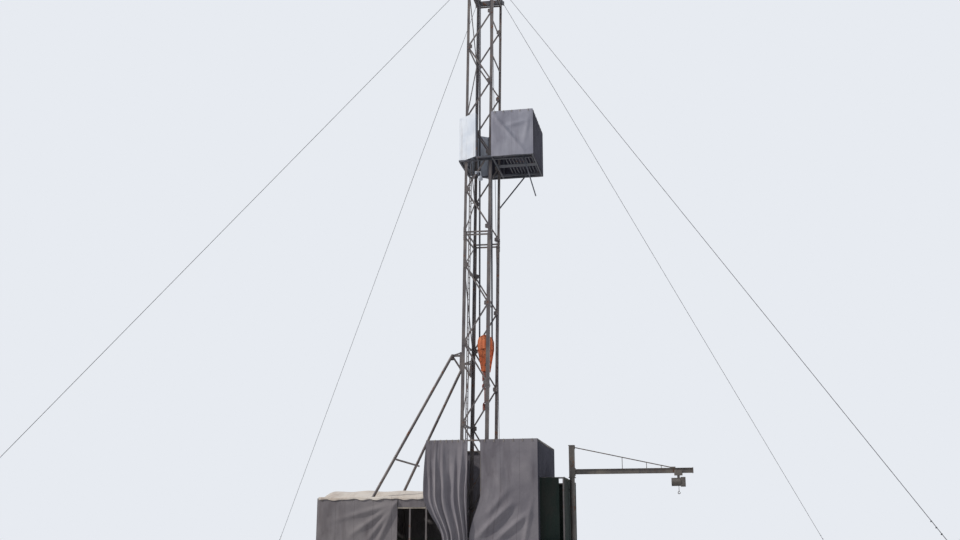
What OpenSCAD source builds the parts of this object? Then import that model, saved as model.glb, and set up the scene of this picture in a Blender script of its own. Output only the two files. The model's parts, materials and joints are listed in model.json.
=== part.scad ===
// Portable oil drilling rig with its mast raised.
// Millimetres. The origin is the well's centre on the ground. +X runs to the front, where the racking
// board and the jib are, +Y to the far side, and +Z up.

/* [Drill floor] */
// Height of the decks above the ground
floor_z = 2000; // [1700:50:2500]
// Distance from the well to the front edge of the drill floor
floor_front = 3000; // [2600:50:3400]
// Length of the drill floor
floor_l = 5300; // [4800:50:5800]
// Width of both decks
floor_w = 6000; // [5600:100:6400]
// Thickness of the deck plates
deck_t = 40; // [20:5:60]
// Side of the square opening over the well
rotary_w = 700; // [500:50:900]

/* [Substructure] */
// Depth of the skid and deck beams
beam_h = 260; // [180:10:320]
// Width of the skid and deck beams
beam_w = 180; // [120:10:240]
// Distance from a deck's side edge to its side frame
frame_inset = 220; // [120:10:400]
// Number of bays in a side frame
frame_bays = 3; // [2:1:5]

/* [Machinery deck] */
// Length of the machinery deck
mach_l = 5300; // [4900:50:5600]
// Height of its canvas walls above the deck
mach_wall_h = 2000; // [1800:50:2200]
// Length of its doorway
door_l = 1350; // [1100:50:1500]
// Distance from the doorway's back edge to its post
door_post = 600; // [500:10:700]
// Height of its doorway
door_h = 1500; // [1300:50:1700]
// Rise of the roof canvas above the walls
roof_rise = 380; // [250:10:450]

/* [Windwalls] */
// Height of the drill floor's canvas walls above the deck
wall_h = 4650; // [4200:50:5000]
// Side of a wall post
post_w = 70; // [50:5:90]
// Thickness of the canvas
canvas_t = 12; // [8:1:16]
// How far the canvas hangs below the deck
canvas_drop = 850; // [500:50:1100]
// Length of the gathered curtain on the near side
curtain_l = 1970; // [1700:10:2200]
// Width of the gap between the curtain and the near canvas
gap_l = 630; // [450:10:800]
// Depth of the curtain's folds
fold_d = 110; // [60:5:150]
// Number of folds in the curtain
folds = 8; // [5:1:11]

/* [Porch] */
// Length of the porch in front of the drill floor
porch_l = 1150; // [900:50:1300]
// Width of the porch
porch_w = 4800; // [4200:100:5200]
// Height of its canvas above the deck
porch_h = 2900; // [2500:50:3300]
// Gap between the porch's near canvas and its corner post
slit_l = 170; // [100:10:240]

/* [Mast] */
// Length of the mast's legs
mast_h = 29200; // [27600:100:30000]
// Depth of the mast, back to front
mast_a = 1400; // [1300:20:1600]
// Width of the mast, side to side
mast_b = 2600; // [2400:20:2800]
// How far the mast's foot stands behind the well
mast_back = 400; // [250:10:550]
// Width of a lower leg's flanges
leg_w = 170; // [140:5:200]
// Width of an upper leg's flanges
upper_leg_w = 140; // [110:5:160]
// Thickness of the legs' flanges
leg_t = 20; // [14:1:26]
// Height where the lower section ends
splice_h = 15200; // [14000:100:16400]
// Height of the first back node above the mast's foot
node_0 = 1550; // [1300:50:1800]
// Height of a bay of the bracing
bay_h = 4000; // [3800:50:4200]
// Width of a brace in the plane of its face
brace_w = 75; // [50:5:90]
// Thickness of a brace
brace_t = 50; // [40:5:60]
// Rung spacing of the ladder
rung_pitch = 300; // [250:10:350]
// Width of the ladder
ladder_w = 420; // [360:10:480]

/* [Mast braces] */
// Height of the brackets above the deck
bracket_h = 8950; // [8400:50:9400]
// Length of a bracket behind the mast
bracket_l = 520; // [400:10:640]
// Height of a bracket
bracket_d = 700; // [550:10:850]
// Diameter of a brace
brace_d = 140; // [110:5:170]
// Distance behind the brackets' pins of the braces' feet
brace_run = 4700; // [4300:50:4900]
// Distance from the deck's side edge to the centre of a brace's foot
foot_inset = 330; // [280:10:420]
// Height of the link between the braces above the deck
link_h = 3900; // [3400:50:4400]

/* [Racking board] */
// Height of the board above the drill floor
board_h = 19200; // [18600:100:19800]
// Distance from the well to the board's front
board_front = 2800; // [2400:50:3200]
// Width of the board
board_w = 3600; // [3400:50:4000]
// Depth of the board behind the well
board_back = 1150; // [1120:10:1300]
// Height of the windbreak
windbreak_h = 2400; // [2000:50:2600]
// Width of the board's beams
board_beam = 80; // [60:5:100]
// Number of fingers on a side
fingers = 9; // [6:1:11]
// Width of the diving board
plank_w = 420; // [300:10:520]

/* [Crown and block] */
// Radius of a sheave's groove
sheave_r = 310; // [280:5:330]
// Distance from one sheave of the block to the next
sheave_pitch = 100; // [90:2:106]
// Distance from one sheave of the crown to the next
crown_pitch = 150; // [146:2:160]
// Number of sheaves in the block
sheaves = 4; // [3:1:4]
// Diameter of the drilling line
line_d = 26; // [20:1:30]
// Height of the block's sheave shaft above the deck at rest
block_h = 9800; // [9200:50:10400]
// Length of the block's cheeks
cheek_l = 2000; // [1700:10:2200]
// Length of the elevator links
link_l = 1300; // [900:20:1500]

/* [Jib] */
// Distance from the well to the pillar
pillar_x = 4350; // [4340:10:4500]
// Distance from the rig's centre line to the pillar, on the near side
pillar_y = 800; // [600:50:1200]
// Diameter of the pillar
pillar_d = 240; // [200:10:260]
// Height of the pillar's shoulder above the ground
shoulder_z = 4950; // [4900:10:5100]
// Height of the turning head
head_h = 1550; // [1300:10:1700]
// Side of the turning head
head_w = 260; // [240:10:300]
// Length of the boom
boom_l = 5700; // [5200:50:6000]
// Depth of the boom
boom_h = 240; // [200:10:280]
// Width of the boom's flanges
boom_b = 120; // [110:5:140]
// Distance of the hoist's trolley from the pillar at rest
trolley_x = 5000; // [4700:50:5100]

/* [Guys] */
// Distance of the anchors from the well, along X and along Y
anchor_xy = 18500; // [17500:100:19000]
// Diameter of a guy line
guy_d = 22; // [16:1:28]

/* [Hidden] */
$fn = 48;
fit = 0.3;

floor_back = floor_front - floor_l;
mach_back = floor_back - mach_l;
half_w = floor_w / 2;
deck_top = floor_z;
beam_top = floor_z - deck_t;
frame_y = half_w - frame_inset;
wall_top = floor_z + wall_h;
mach_top = floor_z + mach_wall_h;
porch_top = floor_z + porch_h;
porch_x = floor_front + porch_l;
canvas_low = floor_z - canvas_drop;

// A square bar in the XZ plane from p to q, with its near face at y = 0
module bar_xz(p, q, w, t) {
    translate([p[0], 0, p[1]]) rotate([0, -atan2(q[1] - p[1], q[0] - p[0]), 0])
        translate([0, 0, -w / 2]) cube([norm(q - p), t, w]);
}

// A square bar in the YZ plane from p to q, with its back face at x = 0
module bar_yz(p, q, w, t) {
    translate([0, p[0], p[1]]) rotate([atan2(q[1] - p[1], q[0] - p[0]), 0, 0])
        translate([0, 0, -w / 2]) cube([t, norm(q - p), w]);
}

// A round bar between two points
module rod(p, q, d) {
    v = q - p;
    translate(p) rotate([0, acos(v[2] / norm(v)), atan2(v[1], v[0])]) cylinder(h = norm(v), d = d);
}

// A box between its lowest and highest corners
module slab(low, high) {
    translate(low) cube(high - low);
}

// Substructure

// A trussed side frame from x0 to x1, beam_w thick from y = 0
module side_frame(x0, x1) {
    bay = (x1 - x0 - beam_w) / frame_bays;
    slab([x0, 0, 0], [x1, beam_w, beam_h]);
    slab([x0, 0, beam_top - beam_h], [x1, beam_w, beam_top - fit]);
    for (i = [0 : frame_bays])
        translate([x0 + i * bay, 10, 0]) cube([beam_w, beam_w - 20, beam_top - beam_h + 5]);
    for (i = [0 : frame_bays - 1]) {
        a = x0 + beam_w / 2 + i * bay;
        low = i % 2 == 0 ? a : a + bay;
        high = i % 2 == 0 ? a + bay : a;
        translate([0, 40, 0]) bar_xz([low, beam_h - 20], [high, beam_top - beam_h + 20], 100, beam_w - 80);
    }
}

module substructure_near() color("#4a4d52") translate([0, -frame_y, 0]) side_frame(floor_back + fit, porch_x);

module substructure_far() color("#4a4d52") mirror([0, 1, 0]) translate([0, -frame_y, 0])
    side_frame(floor_back + fit, porch_x);

module machinery_skid_near() color("#4a4d52") translate([0, -frame_y, 0]) side_frame(mach_back, floor_back);

module machinery_skid_far() color("#4a4d52") mirror([0, 1, 0]) translate([0, -frame_y, 0])
    side_frame(mach_back, floor_back);

cross_y = frame_y - beam_w - fit;
cross_xs = [mach_back + 20, mach_back + mach_l / 2, floor_back - beam_w - 20, floor_back + 20,
    -rotary_w / 2 - beam_w - 20, rotary_w / 2 + 20, floor_front - beam_w - 20, porch_x - beam_w - 20];

module cross_beams() color("#46494e") for (x = cross_xs) {
    slab([x, -cross_y, 0], [x + beam_w, cross_y, beam_h]);
    slab([x, -cross_y, beam_top - beam_h], [x + beam_w, cross_y, beam_top - fit]);
}

module drill_floor() color("#5a5f63") difference() {
    union() {
        slab([floor_back + fit, -half_w, beam_top], [floor_front, half_w, deck_top]);
        slab([floor_front - 1, -porch_w / 2, beam_top], [porch_x, porch_w / 2, deck_top]);
    }
    translate([0, 0, floor_z]) cube([rotary_w, rotary_w, 4 * deck_t], center = true);
}

module machinery_deck() color("#5a5f63")
    slab([mach_back, -half_w, beam_top], [floor_back, half_w, deck_top]);

// Walls of the drill floor and its porch

curtain_x0 = floor_back;
curtain_x1 = floor_back + curtain_l;
near_x0 = curtain_x1 + gap_l;
porch_y = porch_w / 2;

module post(x, y, top) {
    translate([x - post_w / 2, y - post_w / 2, deck_top + fit])
        cube([post_w, post_w, top - deck_top - 2 * fit]);
}

in_y = half_w - post_w / 2;
in_front = floor_front - post_w / 2;
in_back = floor_back + post_w / 2 + fit;
rail_z = wall_top - post_w;
mid_x = (near_x0 + floor_front) / 2;

module wall_posts() color("#8b8577") {
    for (x = [in_back, curtain_x1 - post_w / 2, near_x0 + post_w / 2, mid_x, in_front]) post(x, -in_y, rail_z);
    for (x = [in_back, 0, in_front]) post(x, in_y, rail_z);
    for (y = [-porch_y + post_w / 2, porch_y - post_w / 2]) {
        post(in_front, y, rail_z);
        post(porch_x - post_w / 2, y, porch_top - post_w);
    }
}

module wall_rails() color("#8b8577") {
    for (s = [-1, 1]) {
        translate([floor_back + fit, s * in_y - post_w / 2, rail_z])
            cube([floor_l - fit, post_w, post_w]);
        translate([floor_front + fit, s * (porch_y - post_w / 2) - post_w / 2, porch_top - post_w])
            cube([porch_l - post_w - 2 * fit, post_w, post_w]);
    }
    for (x = [in_back, in_front])
        slab([x - post_w / 2, -half_w + post_w + fit, rail_z], [x + post_w / 2, half_w - post_w - fit, wall_top]);
    slab([porch_x - post_w, -porch_y, porch_top - post_w], [porch_x, porch_y, porch_top]);
}

fold_steps = 6;
fold_n = folds * fold_steps;

function fold_y(i) = fold_d * (1 - cos(360 * i / fold_steps)) / 2;

function fold_line(y0) = [for (i = [0 : fold_n]) [curtain_l * i / fold_n, -y0 - fold_y(i)]];

function reversed(points) = [for (i = [len(points) - 1 : -1 : 0]) points[i]];

module curtain_near() color("#8d8c93")
    translate([curtain_x0, -half_w - fit, canvas_low]) linear_extrude(wall_top - canvas_low)
        polygon(concat(fold_line(0), reversed(fold_line(canvas_t))));

module canvas_near() color("#8d8c93")
    slab([near_x0, -half_w - fit - canvas_t, canvas_low], [floor_front + fit + canvas_t, -half_w - fit, wall_top]);

front_x = floor_front + fit;

// Over the porch the full width, and beside it down to the side frames
module canvas_front() color("#77777f") {
    slab([front_x, -half_w, porch_top + fit], [front_x + canvas_t, half_w, wall_top]);
    for (s = [-1, 1]) {
        y = s * (half_w + porch_y + canvas_t + fit) / 2;
        w = half_w - porch_y - canvas_t - fit;
        translate([front_x, y - w / 2, beam_top]) cube([canvas_t, w, porch_top - beam_top]);
    }
}

module canvas_far() color("#8d8c93")
    slab([floor_back, half_w + fit, canvas_low], [floor_front, half_w + fit + canvas_t, wall_top]);

module canvas_back() color("#8d8c93")
    slab([floor_back - fit - canvas_t, -half_w, mach_top + post_w], [floor_back - fit, half_w, wall_top]);

module porch_canvas() color("#23272a") {
    slab([front_x, -porch_y - fit - canvas_t, canvas_low],
        [porch_x - post_w - slit_l, -porch_y - fit, porch_top]);
    slab([front_x, porch_y + fit, beam_top], [porch_x + fit, porch_y + fit + canvas_t, porch_top]);
    slab([porch_x + fit, -porch_y, canvas_low], [porch_x + fit + canvas_t, porch_y, porch_top]);
}

// Machinery enclosure

door_x0 = floor_back - door_l;
lintel_z = deck_top + door_h;
lintel_h = 90;
mach_rail_z = mach_top - post_w;
mach_in = mach_back + post_w / 2;
mach_end = floor_back - fit - post_w / 2;
bow_y = 2 * half_w / 3 + 200;
bow_xs = [mach_back + 150, mach_back + mach_l / 3, mach_back + 2 * mach_l / 3, floor_back - 250];

module machinery_posts() color("#8b8577") {
    for (x = [mach_in, door_x0 - post_w / 2]) post(x, -in_y, mach_rail_z);
    post(door_x0 + door_post, -in_y, lintel_z);
    for (x = [mach_in, mach_back + mach_l / 2, mach_end]) post(x, in_y, mach_rail_z);
}

module machinery_rails() {
    color("#8b8577") {
        for (s = [-1, 1]) translate([mach_back, s * in_y - post_w / 2, mach_rail_z])
            cube([mach_l - fit, post_w, post_w]);
        slab([mach_back, -half_w + post_w + fit, mach_rail_z], [mach_back + post_w, half_w - post_w - fit, mach_top]);
    }
    color("#cdbfa6")
        slab([door_x0 + fit, -half_w, lintel_z], [floor_back, -half_w + post_w, lintel_z + lintel_h]);
}

module machinery_canvas_near() color("#85858c") {
    slab([mach_back, -half_w - fit - canvas_t, canvas_low], [door_x0, -half_w - fit, mach_top]);
    slab([door_x0 + fit, -half_w - fit - canvas_t, lintel_z + lintel_h - 30], [floor_back - fit, -half_w - fit, mach_top]);
}

module machinery_canvas_back() color("#85858c")
    slab([mach_back - fit - canvas_t, -half_w, canvas_low], [mach_back - fit, half_w, mach_top]);

module machinery_canvas_far() color("#85858c")
    slab([mach_back, half_w + fit, canvas_low], [floor_back - fit, half_w + fit + canvas_t, mach_top]);

// Outline of the roof's arch in the YZ plane, lifted by extra
function arch(extra) = [for (i = [-6 : 6]) [bow_y * i / 6, roof_rise * (1 - pow(i / 6, 2)) + extra]];

module arch_strip(x0, x1, low, high) {
    translate([x0, 0, mach_top]) rotate([90, 0, 90]) linear_extrude(x1 - x0)
        polygon(concat(arch(low), reversed(arch(high))));
}

// Each bow is an arch on two legs that stand on a tie, and the tie rests on the wall rails
module roof_bows() color("#8b8577") for (x = bow_xs) {
    slab([x, -half_w, mach_top + fit], [x + 60, half_w, mach_top + 50]);
    arch_strip(x + 5, x + 55, 20, bow_lift);
}

brace_slot = 320;
bow_lift = 80;

// The canvas lies on the bows, and outside them it falls to the walls' tops
function roof_line(extra) = concat([[-half_w, extra - 30]], arch(extra), [[half_w, extra - 30]]);

// It has a slot for each raking brace
module roof_canvas() color("#cfc3b2") difference() {
    translate([mach_back + 60, 0, mach_top]) rotate([90, 0, 90]) linear_extrude(mach_l - 120)
        polygon(concat(roof_line(bow_lift + fit), reversed(roof_line(bow_lift + fit + canvas_t))));
    for (m = [0, 1]) mirror([0, m, 0]) translate(brace_point(mach_top + bow_lift))
        cube(brace_slot, center = true);
}

// Mast, in its own leaning frame: origin at the centre of its foot

mast_foot_z = deck_top + 60;
crown_t = 240;
crown_z = mast_h + fit;
shaft_z = crown_z + crown_t + sheave_r + 130;
lean = asin(mast_back / shaft_z);

module leaning() translate([-mast_back, 0, mast_foot_z]) rotate([0, lean, 0]) children();

// Where a point of the leaning frame stands in the rig's frame
function stand(p) = [-mast_back + p[0] * cos(lean) + p[2] * sin(lean), p[1],
    mast_foot_z - p[0] * sin(lean) + p[2] * cos(lean)];

// The leaning frame's height at a height of the rig's frame, on the mast's centre line
function mast_at(z) = (z - mast_foot_z) / cos(lean);

function mast_x(z) = -mast_back + (z - mast_foot_z) * tan(lean);

module leg(x, y, z0, z1, w) {
    translate([x, y, z0]) mirror([x > 0 ? 1 : 0, 0, 0]) mirror([0, y > 0 ? 1 : 0, 0])
        linear_extrude(z1 - z0) polygon([[0, 0], [w, 0], [w, leg_t], [leg_t, leg_t], [leg_t, w], [0, w]]);
}

function back_nodes(z0, z1) = [for (k = [0 : 8]) if (node_0 + k * bay_h > z0 && node_0 + k * bay_h < z1)
    node_0 + k * bay_h];

// Zigzag of the side face between z0 and z1: back nodes at each bay, front nodes halfway
module zigzag(z0, z1, w) {
    bx = -mast_a / 2 + w / 2;
    for (k = [-1 : 8]) {
        zb = node_0 + k * bay_h;
        zf = zb + bay_h / 2;
        if (zb >= z0 && zf <= z1) bar_xz([bx, zb], [-bx, zf], brace_w, brace_t);
        if (zf >= z0 && zb + bay_h <= z1) bar_xz([bx, zb + bay_h], [-bx, zf], brace_w, brace_t);
    }
}

// One side of the mast between z0 and z1: two legs, the zigzag and a strut at each end
module mast_side(z0, z1, w) {
    leg(-mast_a / 2, -mast_b / 2, z0, z1, w);
    leg(mast_a / 2, -mast_b / 2, z0, z1, w);
    translate([0, -mast_b / 2 + 5, 0]) {
        zigzag(z0, z1, w);
        for (z = [z0 + brace_w, z1 - brace_w])
            bar_xz([-mast_a / 2 + leg_t / 2, z], [mast_a / 2 - leg_t / 2, z], brace_w, brace_t);
    }
}

// Girts and diagonals across the back, seated on the inner faces of the back legs' flanges
module mast_back_face(z0, z1) {
    zs = concat([z0 + 2 * brace_w], back_nodes(z0 + 1000, z1 - 1000), [z1 - 2 * brace_w]);
    y = mast_b / 2 - leg_t - brace_t - 10;
    translate([-mast_a / 2 + leg_t + fit, 0, 0]) {
        for (z = zs) bar_yz([-y, z], [y, z], brace_w, brace_t);
        for (i = [0 : len(zs) - 2]) {
            s = i % 2 == 0 ? 1 : -1;
            bar_yz([-s * (y - 30), zs[i]], [s * (y - 30), zs[i + 1]], brace_w - 20, brace_t - 10);
        }
    }
}

module mast_lower_near() color("#8a8274") leaning() mast_side(0, splice_h, leg_w);

module mast_lower_far() color("#5b5d66") mirror([0, 1, 0]) leaning() mast_side(0, splice_h, leg_w);

module mast_lower_back() color("#5b5d66") leaning() mast_back_face(0, splice_h);

module mast_upper_near() color("#8a8274") leaning() mast_side(splice_h + fit, mast_h, upper_leg_w);

module mast_upper_far() color("#5b5d66") mirror([0, 1, 0]) leaning() mast_side(splice_h + fit, mast_h, upper_leg_w);

module mast_upper_back() color("#5b5d66") leaning() mast_back_face(splice_h, mast_h);

// Girts across the front above the board, and knees on the front legs below it
girt_zs = [mast_h - 2 * brace_w, mast_h - 2 * brace_w - bay_h / 2, mast_h - 2 * brace_w - bay_h];

module knee(z) {
    y = mast_b / 2 - leg_t - brace_t - 10;
    translate([0, -y, z - 150]) cube([brace_t, 420, brace_w]);
    translate([5, 0, 0]) bar_yz([-y + 20, z + 200], [-y + 380, z - 110], brace_w - 20, brace_t - 10);
    translate([0, -y, z - 150]) cube([brace_t, 60, 420]);
}

module mast_front_girts() color("#4f5260") leaning()
    translate([mast_a / 2 - leg_t - fit - brace_t, 0, 0]) {
        y = mast_b / 2 - leg_t - brace_t - 10;
        for (z = girt_zs) bar_yz([-y, z], [y, z], brace_w, brace_t);
        for (z = back_nodes(2000, splice_h), m = [0, 1]) mirror([0, m, 0]) knee(z + bay_h / 2);
    }

shoe_w = 380;

module mast_shoes() color("#4a4d52") difference() {
    leaning() for (sx = [-1, 1], sy = [-1, 1])
        translate([sx * (mast_a / 2 - leg_w / 2), sy * (mast_b / 2 - leg_w / 2), -80])
            translate([-shoe_w / 2, -shoe_w / 2, 0]) cube([shoe_w, shoe_w, 80 - fit]);
    translate([-2 * mast_a, -mast_b, deck_top + fit - 500]) cube([4 * mast_a, 2 * mast_b, 500]);
}

ladder_y = 650;
ladder_x = -mast_a / 2 - 170;
ladder_top = mast_at(deck_top + board_h) - 200;

module mast_ladder() color("#7d7c7c") leaning() {
    for (s = [0, 1]) translate([ladder_x, ladder_y + s * (ladder_w - 14), 200]) cube([50, 14, ladder_top - 200]);
    for (i = [1 : floor((ladder_top - 300) / rung_pitch)])
        translate([ladder_x + 14, ladder_y + 7, 200 + i * rung_pitch]) cube([22, ladder_w - 14, 22]);
    for (z = concat(back_nodes(1000, splice_h - 1000), back_nodes(splice_h + 1000, ladder_top)), s = [0, 1])
        translate([ladder_x + 40, ladder_y + s * (ladder_w - 14), z - 20])
            cube([-mast_a / 2 + leg_t - ladder_x - 40, 14, 40]);
}

// Raking braces

bracket_z = deck_top + bracket_h;
bracket_at = mast_at(bracket_z);
pin_x = stand([-mast_a / 2 - bracket_l + 70, 0, bracket_at])[0];
pin_z = stand([-mast_a / 2 - bracket_l + 70, 0, bracket_at])[2];
bracket_t = 60;
pin_y = mast_b / 2 + brace_d / 2 + 10;
foot_x = pin_x - brace_run;
foot_y = half_w - foot_inset;

// A triangular bracket against the back of each back leg
module brace_brackets() color("#3f4248") leaning() for (m = [0, 1]) mirror([0, m, 0])
    translate([-mast_a / 2 - fit, -mast_b / 2, bracket_at]) {
        translate([-bracket_l, 0, -50]) cube([bracket_l, bracket_t, 100]);
        translate([-90, 0, -bracket_d]) cube([90, bracket_t, bracket_d + 180]);
        translate([0, 8, 0]) {
            bar_xz([-bracket_l + 60, -20], [-40, -bracket_d + 50], 90, bracket_t - 16);
            bar_xz([-bracket_l + 90, 20], [-40, 140], 60, bracket_t - 16);
        }
    }

function brace_point(z) = let (k = (pin_z - z) / (pin_z - deck_top))
    [pin_x - k * brace_run, -pin_y - k * (foot_y - pin_y), z];

// A tube from the bracket to a foot plate on the machinery deck, with an eye plate beside the bracket
module mast_brace() {
    difference() {
        rod(brace_point(pin_z), brace_point(deck_top - 200), brace_d);
        translate([foot_x - 1500, -half_w, deck_top - 1000]) cube([2500, floor_w, 1000 + fit]);
    }
    translate([foot_x - 200, -foot_y - 130, deck_top + fit]) cube([400, 260, 30]);
    translate([pin_x - 60, -mast_b / 2 - fit - 40, pin_z - 230]) cube([120, 40, 300]);
    translate([pin_x, -mast_b / 2 - fit - 1, pin_z]) rotate([90, 0, 0]) cylinder(h = brace_d + 30, d = 50);
}

module mast_brace_near() color("#8f8879") mast_brace();

module mast_brace_far() color("#6a6a70") mirror([0, 1, 0]) mast_brace();

// A bar across both braces with a clamp at each end, resting against their front
link_w = 80;

module brace_link() color("#6f6c68") {
    p = brace_point(deck_top + link_h);
    translate([p[0], 0, p[2]]) rotate([0, atan2(brace_run, pin_z - deck_top), 0])
        translate([brace_d / 2 + fit, p[1] - 120, -link_w / 2]) cube([link_w, -2 * p[1] + 240, link_w]);
}

// Racking board

board_z = deck_top + board_h;
board_y = board_w / 2;
inner_y = mast_b / 2 + fit;
mast_front_x = mast_x(board_z + windbreak_h) + mast_a / 2;
toe_x = mast_front_x + 40;
corner_x = -170;
back_y = mast_b / 2 - 190;

module beam_x(x0, x1, y) slab([x0, y, board_z - board_beam], [x1, y + board_beam, board_z]);

module beam_y(x, y0, y1) slab([x, y0, board_z - board_beam], [x + board_beam, y1, board_z]);

module board_frame() color("#2f3238") {
    for (m = [0, 1]) mirror([0, m, 0]) {
        beam_x(-board_back, board_front, inner_y);
        beam_x(corner_x, board_front, board_y - board_beam);
        beam_y(corner_x, inner_y + 1, board_y - 1);
    }
    beam_y(-board_back, -inner_y - 1, inner_y + 1);
    beam_y(toe_x, -board_y + 1, board_y - 1);
    beam_y(board_front - board_beam, -board_y + 1, board_y - 1);
}

walk_t = 30;

module board_walkway() color("#34373c") {
    for (m = [0, 1]) mirror([0, m, 0])
        slab([corner_x, inner_y, board_z + fit], [toe_x + 500, board_y - post_w - fit, board_z + walk_t]);
    slab([toe_x, -plank_w / 2, board_z + fit], [board_front - post_w - fit, plank_w / 2, board_z + walk_t]);
    walk_y = back_y - post_w - fit;
    slab([-board_back, -walk_y, board_z + fit], [mast_x(board_z) - mast_a / 2 - 60, walk_y, board_z + walk_t]);
}

finger_x0 = toe_x + 620;
finger_pitch = (board_front - 200 - finger_x0) / (fingers - 1);

module racking_fingers() color("#2f3238") for (m = [0, 1]) mirror([0, m, 0]) {
    slab([finger_x0 - 40, inner_y + board_beam, board_z + fit],
        [board_front - post_w - fit, inner_y + board_beam + 60, board_z + 60]);
    for (i = [0 : fingers - 1]) translate([finger_x0 + i * finger_pitch, plank_w / 2 + 60, board_z + fit])
        cube([40, inner_y + board_beam - plank_w / 2 - 60 - fit, 50]);
}

brk_top = board_z + windbreak_h;

module board_post(x, y) translate([x - post_w / 2, y - post_w / 2, board_z + fit])
    cube([post_w, post_w, windbreak_h - post_w - 2 * fit]);

post_y = board_y - post_w / 2;
near_post_x = toe_x + board_beam / 2;

module board_posts() color("#55524e") {
    for (m = [0, 1]) mirror([0, m, 0]) {
        board_post(corner_x + post_w / 2, post_y);
        board_post(near_post_x, post_y);
        board_post(board_front - post_w / 2, post_y);
        board_post(-board_back + post_w / 2, back_y - post_w / 2);
        slab([m == 0 ? corner_x : near_post_x, board_y - post_w, brk_top - post_w], [board_front, board_y, brk_top]);
    }
    slab([board_front - post_w, -board_y + post_w + fit, brk_top - post_w], [board_front, board_y - post_w - fit, brk_top]);
    slab([-board_back, -back_y, brk_top - post_w], [-board_back + post_w, back_y, brk_top]);
}

board_low = board_z - 60;

module board_canvas_near() color("#9a9aa6")
    slab([near_post_x - post_w / 2, -board_y - fit - canvas_t, board_low],
        [board_front + fit + canvas_t, -board_y - fit, brk_top]);

module board_canvas_front() color("#3d4352")
    slab([board_front + fit, -board_y, board_low], [board_front + fit + canvas_t, board_y, brk_top]);

module board_canvas_far() color("#3d4352")
    slab([corner_x, board_y + fit, board_low], [board_front + fit + canvas_t, board_y + fit + canvas_t, brk_top]);

// Sheet panels that slant from the side walkways round the mast's back legs
panel_t = 20;
panel_run = [board_back + fit + corner_x, board_y + fit - back_y];

module corner_panel() {
    translate([corner_x, -board_y - fit, board_z + fit])
        rotate([0, 0, atan2(panel_run[1], -panel_run[0])])
            cube([norm(panel_run) + 20, panel_t, windbreak_h - fit]);
}

module board_corner_panels() color("#d9dee6") for (m = [0, 1]) mirror([0, m, 0]) corner_panel();

module board_back_panel() color("#4b4e58")
    slab([-board_back - fit - panel_t, -back_y + 40, board_low], [-board_back - fit, back_y - 40, brk_top]);

// The far prop carries the board from the front leg, and the near one hangs loose from its pin
prop_x = 2000;
prop_drop = 1900;
prop_w = 60;

module board_props() color("#54585e") {
    under = board_z - board_beam - fit;
    foot = under - prop_drop;
    difference() {
        translate([0, inner_y, 0])
            bar_xz([mast_x(foot) + mast_a / 2 - leg_w + 60, foot], [prop_x, under + 30], prop_w, prop_w);
        slab([prop_x - 400, inner_y - 10, under], [prop_x + 400, inner_y + 100, under + 300]);
    }
    difference() {
        translate([0, -inner_y - prop_w, 0])
            bar_xz([prop_x + 250, under + 50], [prop_x + 850, under - 2100], prop_w, prop_w);
        slab([prop_x - 400, -inner_y - 100, under], [prop_x + 600, -inner_y + 10, under + 300]);
    }
}

// Crown, lines, block and hook

shaft_d = 120;
block_ys = [for (i = [0 : sheaves - 1]) (i - (sheaves - 1) / 2) * sheave_pitch];
crown_ys = [for (i = [0 : sheaves]) (i - sheaves / 2) * crown_pitch];
rim_r = sheave_r + 40;
sheave_t = 62;
line_x = sheave_r + line_d / 2 + fit;

// A grooved sheave with five lightening holes, its shaft along Y
module sheave() rotate([90, 0, 0]) difference() {
    rotate_extrude($fn = 64) polygon([[shaft_d / 2 - 5, -sheave_t / 2], [shaft_d / 2 + 40, -sheave_t / 2],
        [shaft_d / 2 + 40, -12], [sheave_r - 50, -12], [sheave_r - 50, -sheave_t / 2], [rim_r, -sheave_t / 2],
        [rim_r, -sheave_t / 2 + 6], [sheave_r + 8, -line_d / 2 - 1], [sheave_r, -line_d / 2 + 5],
        [sheave_r, line_d / 2 - 5], [sheave_r + 8, line_d / 2 + 1], [rim_r, sheave_t / 2 - 6],
        [rim_r, sheave_t / 2], [sheave_r - 50, sheave_t / 2], [sheave_r - 50, 12], [shaft_d / 2 + 40, 12],
        [shaft_d / 2 + 40, sheave_t / 2], [shaft_d / 2 - 5, sheave_t / 2]]);
    for (i = [0 : 4]) rotate([0, 0, 72 * i]) translate([(sheave_r + 10 + shaft_d / 2) / 2, 0, -50])
        cylinder(h = 100, d = 75);
}

// Beams on the mast's head, two pillow blocks that carry the sheave shaft, and a lug for each guy
bearing_y = crown_pitch * sheaves / 2 + 140;

module crown_frame() color("#43464d") {
    leaning() translate([0, 0, crown_z]) {
        for (s = [-1, 1]) {
            translate([-mast_a / 2 - 60, s * (mast_b / 2 - 90) - 90, 0]) cube([mast_a + 120, 180, crown_t]);
            translate([s * (mast_a / 2 - 90) - 90, -mast_b / 2 + 90, 10]) cube([180, mast_b - 180, crown_t - 20]);
            translate([-mast_a / 2 + 90, s * bearing_y - 70, 20]) cube([mast_a - 180, 140, crown_t - 40]);
            difference() {
                translate([-150, s * bearing_y - 50, crown_t - 30]) cube([300, 100, sheave_r + 260]);
                translate([0, s * bearing_y, shaft_z - crown_z]) rotate([90, 0, 0])
                    cylinder(h = 200, r = shaft_d / 2 + fit, center = true);
            }
        }
    }
    for (sx = [-1, 1], sy = [-1, 1]) translate(crown_guy(sx, sy)) rotate([0, 0, guy_angle(sx, sy)])
        translate([-lug_out, -30, -crown_t / 2]) cube([2 * lug_out, 60, crown_t]);
}

module crown_sheaves() color("#3a3c42") leaning() translate([0, 0, shaft_z]) {
    for (y = crown_ys) translate([0, y, 0]) sheave();
    rotate([90, 0, 0]) cylinder(h = 2 * bearing_y + 140, d = shaft_d, center = true);
}

crown_shaft = stand([0, 0, shaft_z]);
block_z = deck_top + block_h;
line_end = 0.6;

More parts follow.
